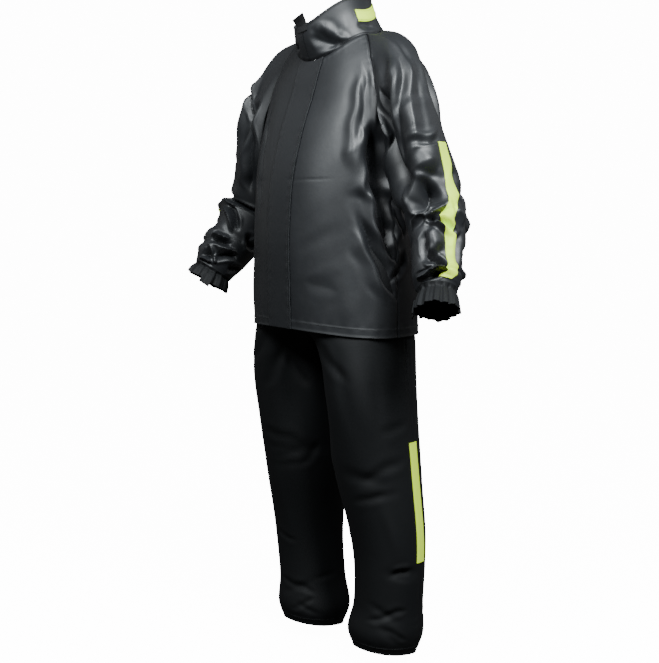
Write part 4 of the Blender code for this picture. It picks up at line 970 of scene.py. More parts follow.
def leg(side, angle, level):
    """A leg's outer face, as if on the left."""
    angle, level = paired(angle, level)
    point = plain_leg(angle, level)
    around, upward = slopes_of(plain_leg, angle, level, LEG_ANGLE_STEP, LEG_LEVEL_STEP)
    height = point[..., 2] + ORIGIN_HEIGHT
    depth = relief(LEG_FORMS[side], angle, height, LEG_RADIUS, LEG_CREASE_SHARE)
    depth = depth * smooth_step((WAIST_LEVEL - level) / WAIST_FADE)
    depth = depth * smooth_step(point[..., 0] / MIDDLE_FADE)
    return raised(point, unit(np.cross(upward, around)), depth)


def leg_normal(side, angle, level):
    """The outward direction of a leg, as if on the left."""
    angle, level = paired(angle, level)
    around, upward = slopes_of(partial(leg, side), angle, level, ANGLE_STEP, LEVEL_STEP)
    outward = unit(np.cross(upward, around))
    inner = np.abs(np.abs(angle) - leg_inner_angle(level)) < SMALL
    at_middle = inner & (level > CROTCH_LEVEL - SMALL)
    upright = unit(outward * np.array([0.0, 1.0, 1.0]))
    upright = np.where((level < CROTCH_LEVEL + SMALL)[..., None], -UP, upright)
    return np.where(at_middle[..., None], upright, outward)


def crowded(start, stop, count, crowding=EDGE_CROWDING):
    """Numbers from start to stop, closer together at both ends."""
    t = np.linspace(0, 1, count)
    t = t - crowding * np.sin(2 * math.pi * t) / (2 * math.pi)
    return start + (stop - start) * t


def grid_normals(outer, closed=False):
    """The directions square to a grid of points, worked out from its neighbours."""
    if closed:
        across = np.roll(outer, -1, axis=1) - np.roll(outer, 1, axis=1)
    else:
        across = np.gradient(outer, axis=1)
    return unit(np.cross(across, np.gradient(outer, axis=0)))


def distance_from(outer, axis, end):
    """Metres along the cloth from one edge of a grid, and metres along that edge."""
    steps = np.linalg.norm(np.diff(outer, axis=axis), axis=-1)
    zero = np.zeros_like(np.take(steps, [0], axis=axis))
    if end == 0:
        away = np.concatenate([zero, np.cumsum(steps, axis=axis)], axis=axis)
    else:
        back = np.flip(np.cumsum(np.flip(steps, axis=axis), axis=axis), axis=axis)
        away = np.concatenate([back, zero], axis=axis)
    edge = np.take(outer, end, axis=axis)
    beside = np.concatenate([[0.0], np.cumsum(np.linalg.norm(np.diff(edge, axis=0), axis=-1))])
    return away, np.expand_dims(beside, axis)


def seamed(outer, outward, seams, seed, share=1.0):
    """The grid with the dips, rises and puckers of its seams. seams is pairs of axis and end."""
    pucker = bpy.context.scene.suit_sizes.pucker * share
    chance = np.random.default_rng(seed)
    depth = np.zeros(outer.shape[:2])
    for axis, end in seams:
        away, beside = distance_from(outer, axis, end)
        depth = depth - SEAM_DIP * bell(away, SEAM_DIP_WIDTH)
        depth = depth + SEAM_RISE * bell(away, SEAM_RISE_WIDTH, SEAM_RISE_PLACE)
        wave = np.zeros_like(beside)
        for _ in range(PUCKER_WAVES):
            length = chance.uniform(*PUCKER_LENGTHS)
            phase = chance.uniform(0, 2 * math.pi)
            swell = np.sin(beside * 2 * math.pi / (length * PUCKER_SWELL_LENGTH) + phase)
            swell = 1 - PUCKER_SWELL + PUCKER_SWELL * swell
            wave = wave + np.sin(beside * 2 * math.pi / length + phase) * swell
        ruck = pucker * wave / PUCKER_WAVES * bell(away, PUCKER_WIDTH)
        depth = depth + ruck * (1 - bell(away, PUCKER_START))
    return raised(outer, outward, depth)


def hemmed(outer, outward):
    """The grid with its lowest edge doubled over, a little thicker than the rest."""
    away, beside = distance_from(outer, 0, 0)
    step = smooth_step((away - HEM_DEPTH + HEM_STEP / 2) / HEM_STEP)
    thick = HEM_THICKNESS * (1 - step) + HEM_EDGE * bell(away, HEM_EDGE_WIDTH)
    ripple = HEM_RIPPLE * np.sin(beside * 2 * math.pi / HEM_RIPPLE_LENGTH)
    return raised(outer, outward, thick + ripple * bell(away, HEM_RIPPLE_WIDTH, HEM_DEPTH))


def add_shell(name, outer, outward, material, thickness, closed):
    """One piece of cloth as a closed thin shell, with a map in metres and a mark on its inner face."""
    rows, across = outer.shape[:2]
    inner = outer - outward * thickness
    points = np.concatenate([outer.reshape(-1, 3), inner.reshape(-1, 3)])
    layer = rows * across
    index = np.arange(layer).reshape(rows, across)
    if closed:
        index = np.concatenate([index, index[:, :1]], axis=1)
    front = np.stack([index[:-1, :-1], index[:-1, 1:], index[1:, 1:], index[1:, :-1]], -1)
    front = front.reshape(-1, 4)
    faces = [front, front[:, ::-1] + layer]
    edges = [index[0][::-1], index[-1]]
    if not closed:
        edges += [index[:, 0], index[::-1, -1]]
    for rim in edges:
        band = np.stack([rim[:-1], rim[1:], rim[1:] + layer, rim[:-1] + layer], -1)
        faces.append(band[:, ::-1])
    faces = np.concatenate(faces)
    # The signed volume says whether the faces point outwards.
    corners = points[faces]
    sides = corners[:, 1:] - corners[:, :1]
    doubled_areas = np.cross(sides[:, :2], sides[:, 1:]).sum(1)
    if (doubled_areas * (corners[:, 0] - points.mean(0))).sum() < 0:
        faces = faces[:, ::-1]
    mesh = bpy.data.meshes.new(name)
    mesh.vertices.add(len(points))
    mesh.vertices.foreach_set("co", points.astype(np.float32).ravel())
    mesh.loops.add(faces.size)
    mesh.loops.foreach_set("vertex_index", np.ascontiguousarray(faces, np.int32).ravel())
    mesh.polygons.add(len(faces))
    mesh.polygons.foreach_set("loop_start", np.arange(0, faces.size, 4, dtype=np.int32))
    mesh.update(calc_edges=True)
    if mesh.validate():
        raise RuntimeError(f"{name} made a faulty mesh")
    u, v = (
        np.concatenate([[0.0], np.cumsum(np.linalg.norm(np.diff(line, axis=0), axis=-1))])
        for line in (outer[rows // 2], outer[:, across // 2])
    )
    place = np.stack(np.broadcast_arrays(u[None, :], v[:, None]), -1).reshape(-1, 2)
    place = np.concatenate([place, place])[faces.ravel()]
    layer_map = mesh.uv_layers.new(name="cloth_map")
    layer_map.data.foreach_set("uv", place.astype(np.float32).ravel())
    inside = mesh.attributes.new("inside", "FLOAT", "POINT")
    inside.data.foreach_set("value", np.repeat([0.0, 1.0], layer).astype(np.float32))
    mesh.materials.append(material)
    mesh.shade_smooth()
    mesh.set_sharp_from_angle(angle=math.radians(SHARP_ANGLE))
    return add_object(name, mesh)


def add_object(name, data):
    """A new object in the scene, at the origin."""
    made = bpy.data.objects.new(name, data)
    bpy.context.scene.collection.objects.link(made)
    return made


def make_piece(
    node, finish, outer, outward, cut, area=None, held="stretched", thickness=CLOTH, closed=False
):
    """A finished piece: what it stands for, its finish and the flat cut it came from, which is not
    used.
    """
    slot = "coated_cloth" if finish == "trouser_cloth" else finish
    kind = "cloth" if slot == "coated_cloth" else "tape"
    piece = add_shell(f"{node}_{kind}", outer, outward, finish_named(finish), thickness, closed)
    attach(piece, BODY)
    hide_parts(node)


class Value:
    """A shader socket on which sums can be written as Python."""

    def __init__(self, shader, socket):
        self.shader, self.socket = shader, socket

    def _math(self, operation, first, second):
        return self.shader.node("ShaderNodeMath", {"operation": operation}, {0: first, 1: second})

    def __add__(self, other):
        return self._math("ADD", self, other)

    def __radd__(self, other):
        return self._math("ADD", other, self)

    def __rsub__(self, other):
        return self._math("SUBTRACT", other, self)

    def __mul__(self, other):
        return self._math("MULTIPLY", self, other)

    def __rmul__(self, other):
        return self._math("MULTIPLY", other, self)


class Shader:
    """A material's node tree, made with one method for every kind of node."""

    def __init__(self, name):
        self.material = bpy.data.materials.new(f"{name}_finish")
        self.material.use_nodes = True
        self.tree = self.material.node_tree
        self.finish = self.tree.nodes["Principled BSDF"]

    def link(self, socket, value):
        """Joins a value to a socket, or sets the socket to a plain number or colour."""
        if isinstance(value, Value):
            self.tree.links.new(value.socket, socket)
        else:
            socket.default_value = value

    def node(self, kind, settings=None, inputs=None, output=0):
        """Adds a node: its type, its settings, what feeds its sockets, and which output to use."""
        made = self.tree.nodes.new(kind)
        for key, value in (settings or {}).items():
            setattr(made, key, value)
        for key, value in (inputs or {}).items():
            self.link(made.inputs[key], value)
        return Value(self, made.outputs[output])

    def set(self, **sockets):
        """Feeds the surface's own sockets."""
        for key, value in sockets.items():
            self.link(self.finish.inputs[key.replace("_", " ")], value)

    def place(self):
        """Object coordinates."""
        return self.node("ShaderNodeTexCoord", output=3)

    def flat(self):
        """The piece's own map, in metres along the cloth."""
        return self.node("ShaderNodeUVMap", {"uv_map": "cloth_map"})

    def noise(self, place, scale, detail=2.0, roughness=0.5, warp=0.0):
        """Cloudy patches."""
        sockets = {
            "Vector": place, "Scale": scale, "Detail": detail, "Roughness": roughness,
            "Distortion": warp,
        }
        return self.node("ShaderNodeTexNoise", {}, sockets)

    def ribs(self, direction, scale, warp, detail=2.0):
        """Fine ribs of a weave on the piece's own map."""
        return self.node(
            "ShaderNodeTexWave", {"wave_type": "BANDS", "bands_direction": direction},
            {"Vector": self.flat(), "Scale": scale, "Distortion": warp, "Detail": detail}, output=1,
        )

    def between(self, share, first, second):
        """A colour that runs from the first to the second."""
        sockets = {0: share, 6: (*first, 1.0), 7: (*second, 1.0)}
        return self.node("ShaderNodeMix", {"data_type": "RGBA"}, sockets, output=2)

    def bump(self, height, distance, strength, normal=None):
        """Relief that only the light sees, laid over another relief where one is given."""
        inputs = {"Height": height, "Distance": distance, "Strength": strength}
        if normal is not None:
            inputs["Normal"] = normal
        return self.node("ShaderNodeBump", {}, inputs)


def shaded(colour, share):
    """A colour with each channel multiplied, up to full brightness."""
    return tuple(min(1.0, channel * share) for channel in colour)


def coated_cloth(name="coated_cloth", darker=1.0):
    """Satin coated cloth: smooth and dark outside with a faint grain, dull and woven inside."""
    look = bpy.context.scene.suit_finish
    shader = Shader(name)
    place = shader.place()
    inside = shader.node("ShaderNodeAttribute", {"attribute_name": "inside"}, {}, output=2)
    patches = shader.noise(place, scale=9.0, detail=3.0, roughness=0.55, warp=0.4)
    haze = shader.noise(place, scale=55.0, detail=3.0, roughness=0.6)
    grain = shader.noise(place, scale=900.0)
    weave = shader.ribs("DIAGONAL", scale=420.0, warp=0.6, detail=1.0)
    # Below 1, darker paints shade into the cloth: its colour and gloss are darkened and it is made
    # duller.
    tone = tuple(c * darker for c in look.cloth_colour)
    shader.set(Base_Color=shader.between(patches * 0.55 + haze * 0.35, tone, shaded(tone, 1.35)))
    rough = look.cloth_roughness + DULLER_BY * (1 - darker)
    outer_rough = rough - 0.05 + haze * 0.07 + patches * 0.05
    shader.set(Roughness=outer_rough + inside * (INSIDE_ROUGHNESS - rough))
    soft = shader.bump(patches * 0.6 + haze * 0.4, distance=0.0012, strength=0.5)
    fine = grain * (1 - inside) + weave * inside
    shader.set(Normal=shader.bump(fine, distance=0.00012, strength=0.45, normal=soft))
    shader.set(Specular_IOR_Level=look.cloth_gloss * darker)
    return shader.material


def trouser_cloth():
    """The same cloth for the trousers and the cuffs, made darker and duller as painted shade."""
    return coated_cloth("trouser_cloth", bpy.context.scene.suit_finish.trouser_shade_share)


def signal_tape():
    """Bright yellow-green tape with a fine weave, slightly patchy, and a painted glow that keeps it
    bright whatever the lamps.
    """
    look = bpy.context.scene.suit_finish
    shader = Shader("signal_tape")
    patches = shader.noise(shader.place(), scale=24.0, detail=3.0, roughness=0.6)
    ribs = shader.ribs("Y", scale=300.0, warp=0.2)
    tone = tuple(look.tape_colour)
    shade = tuple(channel * share for channel, share in zip(tone, TAPE_SHADE))
    shader.set(Base_Color=shader.between(patches * 0.7 + ribs * 0.2, tone, shade))
    shader.set(Roughness=0.52 + patches * 0.12)
    shader.set(Normal=shader.bump(ribs * 0.7 + patches * 0.3, distance=0.00015, strength=0.5))
    # Painted glow: the tape shines with its own colour whatever the lamps, standing in for its
    # fluorescence.
    shader.set(Emission_Color=(*tone, 1.0), Emission_Strength=look.tape_painted_glow)
    return shader.material


def hook_tape():
    """Hook tape: a black, rough field of tiny hooks."""
    shader = Shader("hook_tape")
    flat = shader.flat()
    sockets = {"Vector": flat, "Scale": 620.0, "Randomness": 0.35}
    hooks = shader.node("ShaderNodeTexVoronoi", {"feature": "F1"}, sockets)
    patches = shader.noise(flat, scale=90.0, detail=3.0, roughness=0.6)
    shader.set(Base_Color=shader.between(patches * 0.6 + hooks * 0.6, HOOK_LIGHT, HOOK_DARK))
    shader.set(Roughness=0.78 + patches * 0.15)
    shader.set(Normal=shader.bump(1 - hooks, distance=0.0008, strength=0.9))
    return shader.material


def thread():
    """Waxed sewing thread, a little lighter than the cloth."""
    shader = Shader("sewing_thread")
    twist = shader.noise(shader.place(), scale=1400.0, detail=1.0)
    tone = tuple(bpy.context.scene.suit_finish.thread_colour)
    shader.set(Base_Color=shader.between(twist, tone, shaded(tone, 0.6)))
    shader.set(Roughness=0.55 + twist * 0.2)
    return shader.material


def floor_finish():
    """A plain pale studio floor."""
    stage = bpy.context.scene.suit_stage
    shader = Shader("studio_floor")
    patches = shader.noise(shader.place(), scale=1.2)
    tone = tuple(stage.floor_colour)
    shader.set(Base_Color=shader.between(patches, tone, shaded(tone, 0.985)))
    shader.set(Roughness=0.85 + patches * 0.1)
    shader.set(Emission_Color=(1.0, 1.0, 1.0, 1.0), Emission_Strength=stage.floor_glow)
    return shader.material


MATERIAL_MAKERS = {
    "coated_cloth": coated_cloth,
    "trouser_cloth": trouser_cloth,
    "signal_tape": signal_tape,
    "hook_tape": hook_tape,
    "sewing_thread": thread,
    "studio_floor": floor_finish,
}


def finish_named(name):
    """The material of that name, made when it is first asked for."""
    return bpy.data.materials.get(f"{name}_finish") or MATERIAL_MAKERS[name]()


def flap_angle(level, width):
    """The angle at which the body is a given distance from its middle line."""
    ring = columns(BODY_RINGS, BODY_COLUMNS, level)
    share = (width / ring["half_width"]) ** (ring["square"] / 2)
    return np.degrees(np.arcsin(share))


def body_panel(edge_low, edge_high, count):
    """The angles and levels of a piece on the body, between two edges given for each level."""
    low = crowded(0, UNDERARM_LEVEL, BODY_LOW_ROWS, crowding=0.3)
    high = np.linspace(UNDERARM_LEVEL, NECK_LEVEL, BODY_HIGH_ROWS)
    levels = np.concatenate([low, high[1:]])
    start, stop = edge_low(levels)[:, None], edge_high(levels)[:, None]
    angle = start + (stop - start) * crowded(0, 1, count)[None, :]
    return angle, np.repeat(levels[:, None], count, axis=1)


def make_fronts():
    """The two jacket fronts."""
    for side, name in SIDES:
        angle, level = body_panel(lambda at: at * 0.0 + FRONT_START, raglan_front, FRONT_COLUMNS)
        outer = body(side * angle, level)
        outward = grid_normals(outer) * side
        outer = raised(outer, outward, drift(outer, DRIFT_SEEDS["front"] + side))
        outer = seamed(outer, outward, [(1, -1), (0, -1)], PUCKER_SEEDS["front"] + side)
        outer = hemmed(outer, outward)
        make_piece(
            f"jacket_front_{name}", "coated_cloth", outer, grid_normals(outer) * side,
            cut=(0.34, 0.70), area=0.205,
        )


def make_back():
    """The jacket back."""
    angle, level = body_panel(raglan_back, lambda at: 360 - raglan_back(at), BACK_COLUMNS)
    outer = body(angle, level)
    outward = grid_normals(outer)
    outer = raised(outer, outward, drift(outer, DRIFT_SEEDS["back"]))
    outer = seamed(outer, outward, [(1, 0), (1, -1), (0, -1)], PUCKER_SEEDS["back"])
    outer = hemmed(outer, outward)
    make_piece(
        "jacket_back", "coated_cloth", outer, grid_normals(outer), cut=(0.66, 0.78), area=0.42
    )


def flap_grid():
    """The storm flap's points and outward directions, from its right edge to its free left one."""
    angle, level = body_panel(
        lambda at: -flap_angle(at, FLAP_RIGHT), lambda at: flap_angle(at, FLAP_LEFT), FLAP_COLUMNS
    )
    outer = body(angle, level)
    outward = grid_normals(outer)
    # It lifts over its free half, and rolls over the last third.
    share = (angle - angle[:, :1]) / (angle[:, -1:] - angle[:, :1])
    lift = CLOTH + LAID_GAP + FLAP_LIFT * smooth_step(share * 2 - 1)
    rolling = FLAP_ROLL * np.sin(level * FLAP_ROLL_RATE + FLAP_ROLL_PHASE)
    rolling = rolling * smooth_step(share * 3 - 2) ** 2
    return raised(outer, outward, lift + np.abs(rolling)), outward


def make_flap():
    """The flap over the front opening."""
    pucker = bpy.context.scene.suit_sizes.pucker
    outer, outward = flap_grid()
    keep = distance_from(outer, 0, -1)[0][:, outer.shape[1] // 2] > FLAP_CLEARANCE
    outer, outward = outer[keep], outward[keep]
    outer = seamed(outer, outward, [(1, 0)], PUCKER_SEEDS["flap"])
    away, beside = distance_from(outer, 1, -1)
    wave = pucker * FLAP_WAVE_SHARE * np.sin(beside * 2 * math.pi / FLAP_WAVE_LENGTH)
    roll = FLAP_EDGE * bell(away, EDGE_WIDTH) + wave * bell(away, FLAP_WAVE_WIDTH, FLAP_WAVE_PLACE)
    outer = raised(outer, outward, roll)
    make_piece("storm_flap", "coated_cloth", outer, grid_normals(outer), cut=(0.088, 0.64))


def collar_grid(levels, ends=COLLAR_ENDS, count=COLLAR_COLUMNS):
    """The collar's points and outward directions at the given levels, between two angles."""
    level, angle = np.meshgrid(levels, np.linspace(*ends, count), indexing="ij")
    outer = collar(angle, level)
    return outer, grid_normals(outer)


def make_collar():
    """The stand collar."""
    outer, outward = collar_grid(crowded(0.02, COLLAR_TOP, COLLAR_ROWS, crowding=0.4))
    outer = outer + outward * drift(outer, DRIFT_SEEDS["collar"])[..., None] * COLLAR_DRIFT_SHARE
    outer = seamed(outer, outward, [(0, 0)], PUCKER_SEEDS["collar"], COLLAR_PUCKER_SHARE)
    away, _ = distance_from(outer, 0, -1)
    outer = raised(outer, outward, COLLAR_EDGE * bell(away, EDGE_WIDTH))
    make_piece("collar", "coated_cloth", outer, grid_normals(outer), cut=(0.66, 0.085))


def make_collar_trims():
    """The strip round the back of the collar, and the hook tape that stands at its front."""
    rows, count = COLLAR_STRIP_GRID
    outer, outward = collar_grid(np.linspace(*COLLAR_STRIP_LEVELS, rows), COLLAR_STRIP_ENDS, count)
    outer = outer + outward * (TRIM + LAID_GAP)
    away = np.minimum(distance_from(outer, 0, 0)[0], distance_from(outer, 0, -1)[0])
    outer = raised(outer, outward, -STRIP_SINK * bell(away, COLLAR_STRIP_EDGE))
    make_piece("collar_strip", "signal_tape", outer, outward, cut=(0.31, 0.022), thickness=TRIM)

    rows, count = TAB_GRID
    laid, outward = collar_grid(np.linspace(COLLAR_TAB_LEVEL, COLLAR_TOP, rows), TAB_ENDS, count)
    laid = laid + outward * (CLOTH + LAID_GAP)
    upward = unit(laid[-1] - laid[-2])
    heights = np.linspace(0, TAB_HEIGHTS[-1], TAB_RISING_ROWS)[1:]
    outs = np.interp(heights, TAB_HEIGHTS, TAB_OUTS)
    taper = np.linspace(*TAB_TAPER, count)[:, None]
    rising = [
        laid[-1] + upward * rise * taper + outward[-1] * out for rise, out in zip(heights, outs)
    ]
    outer = np.concatenate([laid, np.array(rising)])
    make_piece("collar_tab", "hook_tape", outer, grid_normals(outer), cut=(0.038, 0.042))


def strip_turn(side, reach):
    """Where the middle of the strip lies round the sleeve."""
    return np.interp(reach, SLEEVE_STRIP_REACHES, STRIP_TURNS[side])


def make_sleeves():
    """The two raglan sleeves. Their columns follow the strip's middle line."""
    for side, name in SIDES:
        cap = crowded(0.004, 1, CAP_ROWS, crowding=0.4)
        reaches = np.concatenate([cap, np.linspace(1, ARM_END, ARM_ROWS)[1:]])
        turns = np.arange(ARM_COLUMNS_ROUND) / ARM_COLUMNS_ROUND
        reach, turn = np.meshgrid(reaches, turns, indexing="ij")
        turn = turn + (strip_turn(side, reaches) - 0.5)[:, None] * np.sin(math.pi * turn) ** 2
        outer = sleeve(side, turn, reach)
        outward = -grid_normals(outer, closed=True)
        outer = raised(outer, outward, drift(outer, DRIFT_SEEDS["sleeve"] + side))
        outer = seamed(outer, outward, [(0, 0)], PUCKER_SEEDS["sleeve"] + side)
        outward = -grid_normals(outer, closed=True)
        make_piece(
            f"sleeve_{name}", "coated_cloth", *on_side(side, outer, outward), cut=(0.56, 0.66),
            area=0.27, closed=True,
        )


def make_strip(side, node, outer, outward, seed, sink, length):
    """A strip on an arm or a leg, which follows the cloth's unevenness and is sewn down."""
    edge = 1 - np.abs(np.linspace(-1, 1, STRIP_COLUMNS))[None, :]
    outer = raised(outer, outward, drift(outer, seed + side) + TRIM + LAID_GAP)
    outer = raised(outer, outward, -sink * bell(edge, STRIP_EDGE_SHARE))
    make_piece(
        node, "signal_tape", *on_side(side, outer, outward), cut=(2 * STRIP_HALF_WIDTH, length),
        thickness=TRIM,
    )


def make_sleeve_strips():
    """The strips down the outer line of the sleeves."""
    across = np.linspace(-1, 1, STRIP_COLUMNS)[None, :]
    for side, name in SIDES:
        reaches = np.linspace(SLEEVE_STRIP_TOP, SLEEVE_STRIP_END, SLEEVE_STRIP_ROWS)
        ring = columns(ARMS[side], ARM_COLUMNS, reaches - 1)
        half_turn = STRIP_HALF_WIDTH / girth(ring["wide"], ring["deep"])
        turn = strip_turn(side, reaches)[:, None] + across * half_turn[:, None]
        outer = sleeve(side, turn, np.repeat(reaches[:, None], STRIP_COLUMNS, axis=1))
        make_strip(
            side, f"sleeve_strip_{name}", outer, -grid_normals(outer), DRIFT_SEEDS["sleeve"],
            STRIP_SINK, 0.34,
        )


def cuff_surface(side, turn, along_cuff, fine=1.0):
    """A cuff's points and radial directions, as if on the left. along_cuff counts its rings."""
    arm = ARMS[side]
    centre, along = arm_frame(arm, np.array(len(arm) - 1.0))[:2]
    ring = columns(CUFF_RINGS, CUFF_COLUMNS, along_cuff)
    start = arm_ring(arm, turn, np.full(np.shape(turn), len(arm) - 1.0)) - centre
    radial = unit(start)
    wave = np.cos(2 * math.pi * CUFF_GATHERS * turn)
    ripple = np.sin(2 * math.pi * CUFF_RIPPLES * turn + 1.0 + along_cuff * CUFF_RIPPLE_LEAN)
    slow = np.sin(2 * math.pi * CUFF_SLOW_WAVES * turn + 0.5)
    steady, varied = CUFF_HEIGHT_RANGE
    ruck = ring["ruck"] * (wave * (steady + varied * slow) + fine * CUFF_RIPPLE_SHARE * ripple)
    length = ring["along"] * CUFF_LENGTHS[side] * (1 + CUFF_LENGTH_SWAY * slow)
    points = (
        centre
        + along * (SEAM_GAP + length)[..., None]
        + start * ring["radius"][..., None]
        + radial * ruck[..., None]
        + CUFF_LEANS[side] * ring["lean"][..., None]
    )
    return points, radial


def make_cuffs():
    """The gathered cuffs with their frills."""
    count = CUFF_GATHERS * CUFF_COLUMNS_A_GATHER
    levels = np.linspace(0, len(CUFF_RINGS) - 1, CUFF_ROWS)
    level, turn = np.meshgrid(levels, np.arange(count) / count, indexing="ij")
    for side, name in SIDES:
        outer, _ = cuff_surface(side, turn, level)
        outward = -grid_normals(outer, closed=True)
        outer = raised(outer, outward, -CUFF_PINCH * bell(level, CUFF_PINCH_WIDTH, 1.0))
        make_piece(
            f"cuff_{name}", "trouser_cloth", *on_side(side, outer, outward),
            cut=(0.40, 0.052 * CUFF_LENGTHS[side]), held="gathered", closed=True,
        )


def make_cuff_tabs():
    """The small tab on each cuff."""
    rows, count = CUFF_TAB_GRID
    turns = np.linspace(CUFF_TAB_TURN - CUFF_TAB_HALF_TURN, CUFF_TAB_TURN + CUFF_TAB_HALF_TURN, count)
    level, turn = np.meshgrid(np.linspace(2, 3, rows), turns, indexing="ij")
    for side, name in SIDES:
        laid, radial = cuff_surface(side, turn, level, fine=0.0)
        laid = laid + radial * (CLOTH + LAID_GAP + CUFF_TAB_GAP)
        along = unit(laid[-1] - laid[-2])
        shares = np.linspace(0, 1, CUFF_TAB_HANGING_ROWS)[1:]
        hanging = [laid[-1] + along * CUFF_TAB_HANG * share for share in shares]
        outer = np.concatenate([laid, np.array(hanging)])
        make_piece(
            f"cuff_tab_{name}", "trouser_cloth", *on_side(side, outer, -grid_normals(outer)),
            cut=(0.026, 0.036),
        )


def make_trousers():
    """A front and a back for each leg. Their rows are closer together above the crotch."""
    below = crowded(0, CROTCH_LEVEL, LEG_ROWS_LOW, crowding=0.2)
    above = np.linspace(0, 1, LEG_ROWS_HIGH)[1:] ** 1.5
    levels = np.concatenate([below, CROTCH_LEVEL + (WAIST_LEVEL - CROTCH_LEVEL) * above])
    level = np.repeat(levels[:, None], LEG_COLUMNS_A_PANEL, axis=1)
    share = crowded(0, 1, LEG_COLUMNS_A_PANEL)[None, :]
    for side, side_name in SIDES:
        for half, half_name in ((1, "front"), (-1, "back")):
            inner = half * leg_inner_angle(levels)[:, None]
            start = OUTSEAM_ANGLE + half * OUTSEAM_GAP
            angle = start + (inner - start) * share
            outer, outward = leg(side, angle, level), leg_normal(side, angle, level)
            outward[-1] = unit(outward[-1] * FLAT)
            fade = smooth_step(outer[..., 0] / DRIFT_FADE)
            outer = raised(outer, outward, drift(outer, DRIFT_SEEDS["leg"] + side) * fade)
            outer = seamed(outer, outward, [(1, 0)], PUCKER_SEEDS["leg"] + side + 3 * half)
            outer = hemmed(outer, outward)
            make_piece(
                f"trouser_{half_name}_{side_name}", "trouser_cloth",
                *on_side(side, outer, outward), cut=(0.36, 1.02), area=0.30,
            )


def make_leg_strips():
    """The strips over the outseams."""
    levels = np.linspace(*LEG_STRIP_LEVELS, LEG_STRIP_ROWS)
    ring = columns(LEG_RINGS, LEG_COLUMNS, levels)
    across = np.linspace(-1, 1, STRIP_COLUMNS)[None, :]
    half_angle = 360 * STRIP_HALF_WIDTH / girth(ring["half_width"], ring["half_depth"])
    angle = OUTSEAM_ANGLE + across * half_angle[:, None]
    level = np.repeat(levels[:, None], STRIP_COLUMNS, axis=1)
    for side, name in SIDES:
        outer, outward = leg(side, angle, level), leg_normal(side, angle, level)
        seed = DRIFT_SEEDS["leg"]
        make_strip(side, f"leg_strip_{name}", outer, outward, seed, LEG_STRIP_SINK, 0.28)


def make_waistband():
    """The gathered elastic band on top of the trousers."""
    count = WAISTBAND_GATHERS * BAND_COLUMNS_A_GATHER
    levels = np.linspace(0, len(WAISTBAND_RINGS) - 1, BAND_ROWS)
    level, angle = np.meshgrid(levels, 360 * np.arange(count) / count, indexing="ij")
    ring = columns(WAISTBAND_RINGS, WAISTBAND_COLUMNS, level)
    start = plain_leg(angle, np.full(angle.shape, WAIST_LEVEL))
    radial = unit(start * FLAT)
    ripple = np.sin(np.radians(angle * WAISTBAND_RIPPLES))
    wave = np.cos(np.radians(angle * WAISTBAND_GATHERS)) + WAISTBAND_RIPPLE_SHARE * ripple
    outer = (
        start * FLAT * ring["radius"][..., None]
        + radial * (ring["ruck"] * wave)[..., None]
        + UP * (start[..., 2] + SEAM_GAP + ring["along"])[..., None]
    )
    make_piece(
        "waistband", "trouser_cloth", outer, radial, cut=(1.20, 0.040), held="gathered", closed=True
    )


def line_round(surface, ends, count, level, lift=STITCH_LIFT):
    """A line round the body or the collar between two angles, just over its cloth."""
    angle = np.linspace(*ends, count)
    level = np.full(count, level)
    return surface(angle, level) + normal_of(surface, angle, level) * lift


def stitch_lines():
    """The lines of stitching, each a row of points that lie on the finished cloth."""
    inset = bpy.context.scene.suit_sizes.stitch_inset
    outer, outward = flap_grid()
    away, _ = distance_from(outer, 1, -1)
    middle, near_edge = FLAP_STITCH_COLUMNS
    keep = distance_from(outer, 0, -1)[0][:, middle] > FLAP_CLEARANCE + inset
    rows = [
        [np.interp(inset, away[row][::-1], outer[row, ::-1, k]) for k in range(3)]
        for row in np.flatnonzero(keep)
    ]
    lines = [np.array(rows) + outward[keep][:, near_edge] * STITCH_LIFT]
    for side, _ in SIDES:
        for ends in RAGLAN_STITCH_TURNS:
            turn = np.linspace(*ends, RAGLAN_STITCH_POINTS)
            reach = np.full(turn.shape, RAGLAN_STITCH_REACH)
            around, down = slopes_of(partial(sleeve, side), turn, reach, STITCH_TURN_STEP, LEVEL_STEP)
            lift = unit(np.cross(down, around)) * RAGLAN_STITCH_LIFT
            lines.extend(on_side(side, sleeve(side, turn, reach) + lift))
    lines.append(line_round(body, HEM_STITCH_ENDS, HEM_STITCH_POINTS, HEM_STITCH_LEVEL))
    ends, count = COLLAR_STITCH_ENDS, COLLAR_STITCH_POINTS
    for level in COLLAR_STITCH_LEVELS:
        lines.append(line_round(collar, ends, count, level, COLLAR_STITCH_LIFT))
    low, high = COLLAR_STRIP_LEVELS
    ends, count = COLLAR_STRIP_STITCH_ENDS, COLLAR_STRIP_STITCH_POINTS
    for level in (low + COLLAR_STRIP_INSET, high - COLLAR_STRIP_INSET):
        lines.append(line_round(collar, ends, count, level, STRIP_STITCH_LIFT))
    for side, _ in SIDES:
        angle = np.linspace(*LEG_STITCH_ENDS, LEG_STITCH_POINTS)
        level = np.full(angle.shape, LEG_STITCH_LEVEL)
        points = leg(side, angle, level) + leg_normal(side, angle, level) * STITCH_LIFT
        lines.extend(on_side(side, points))
    return lines


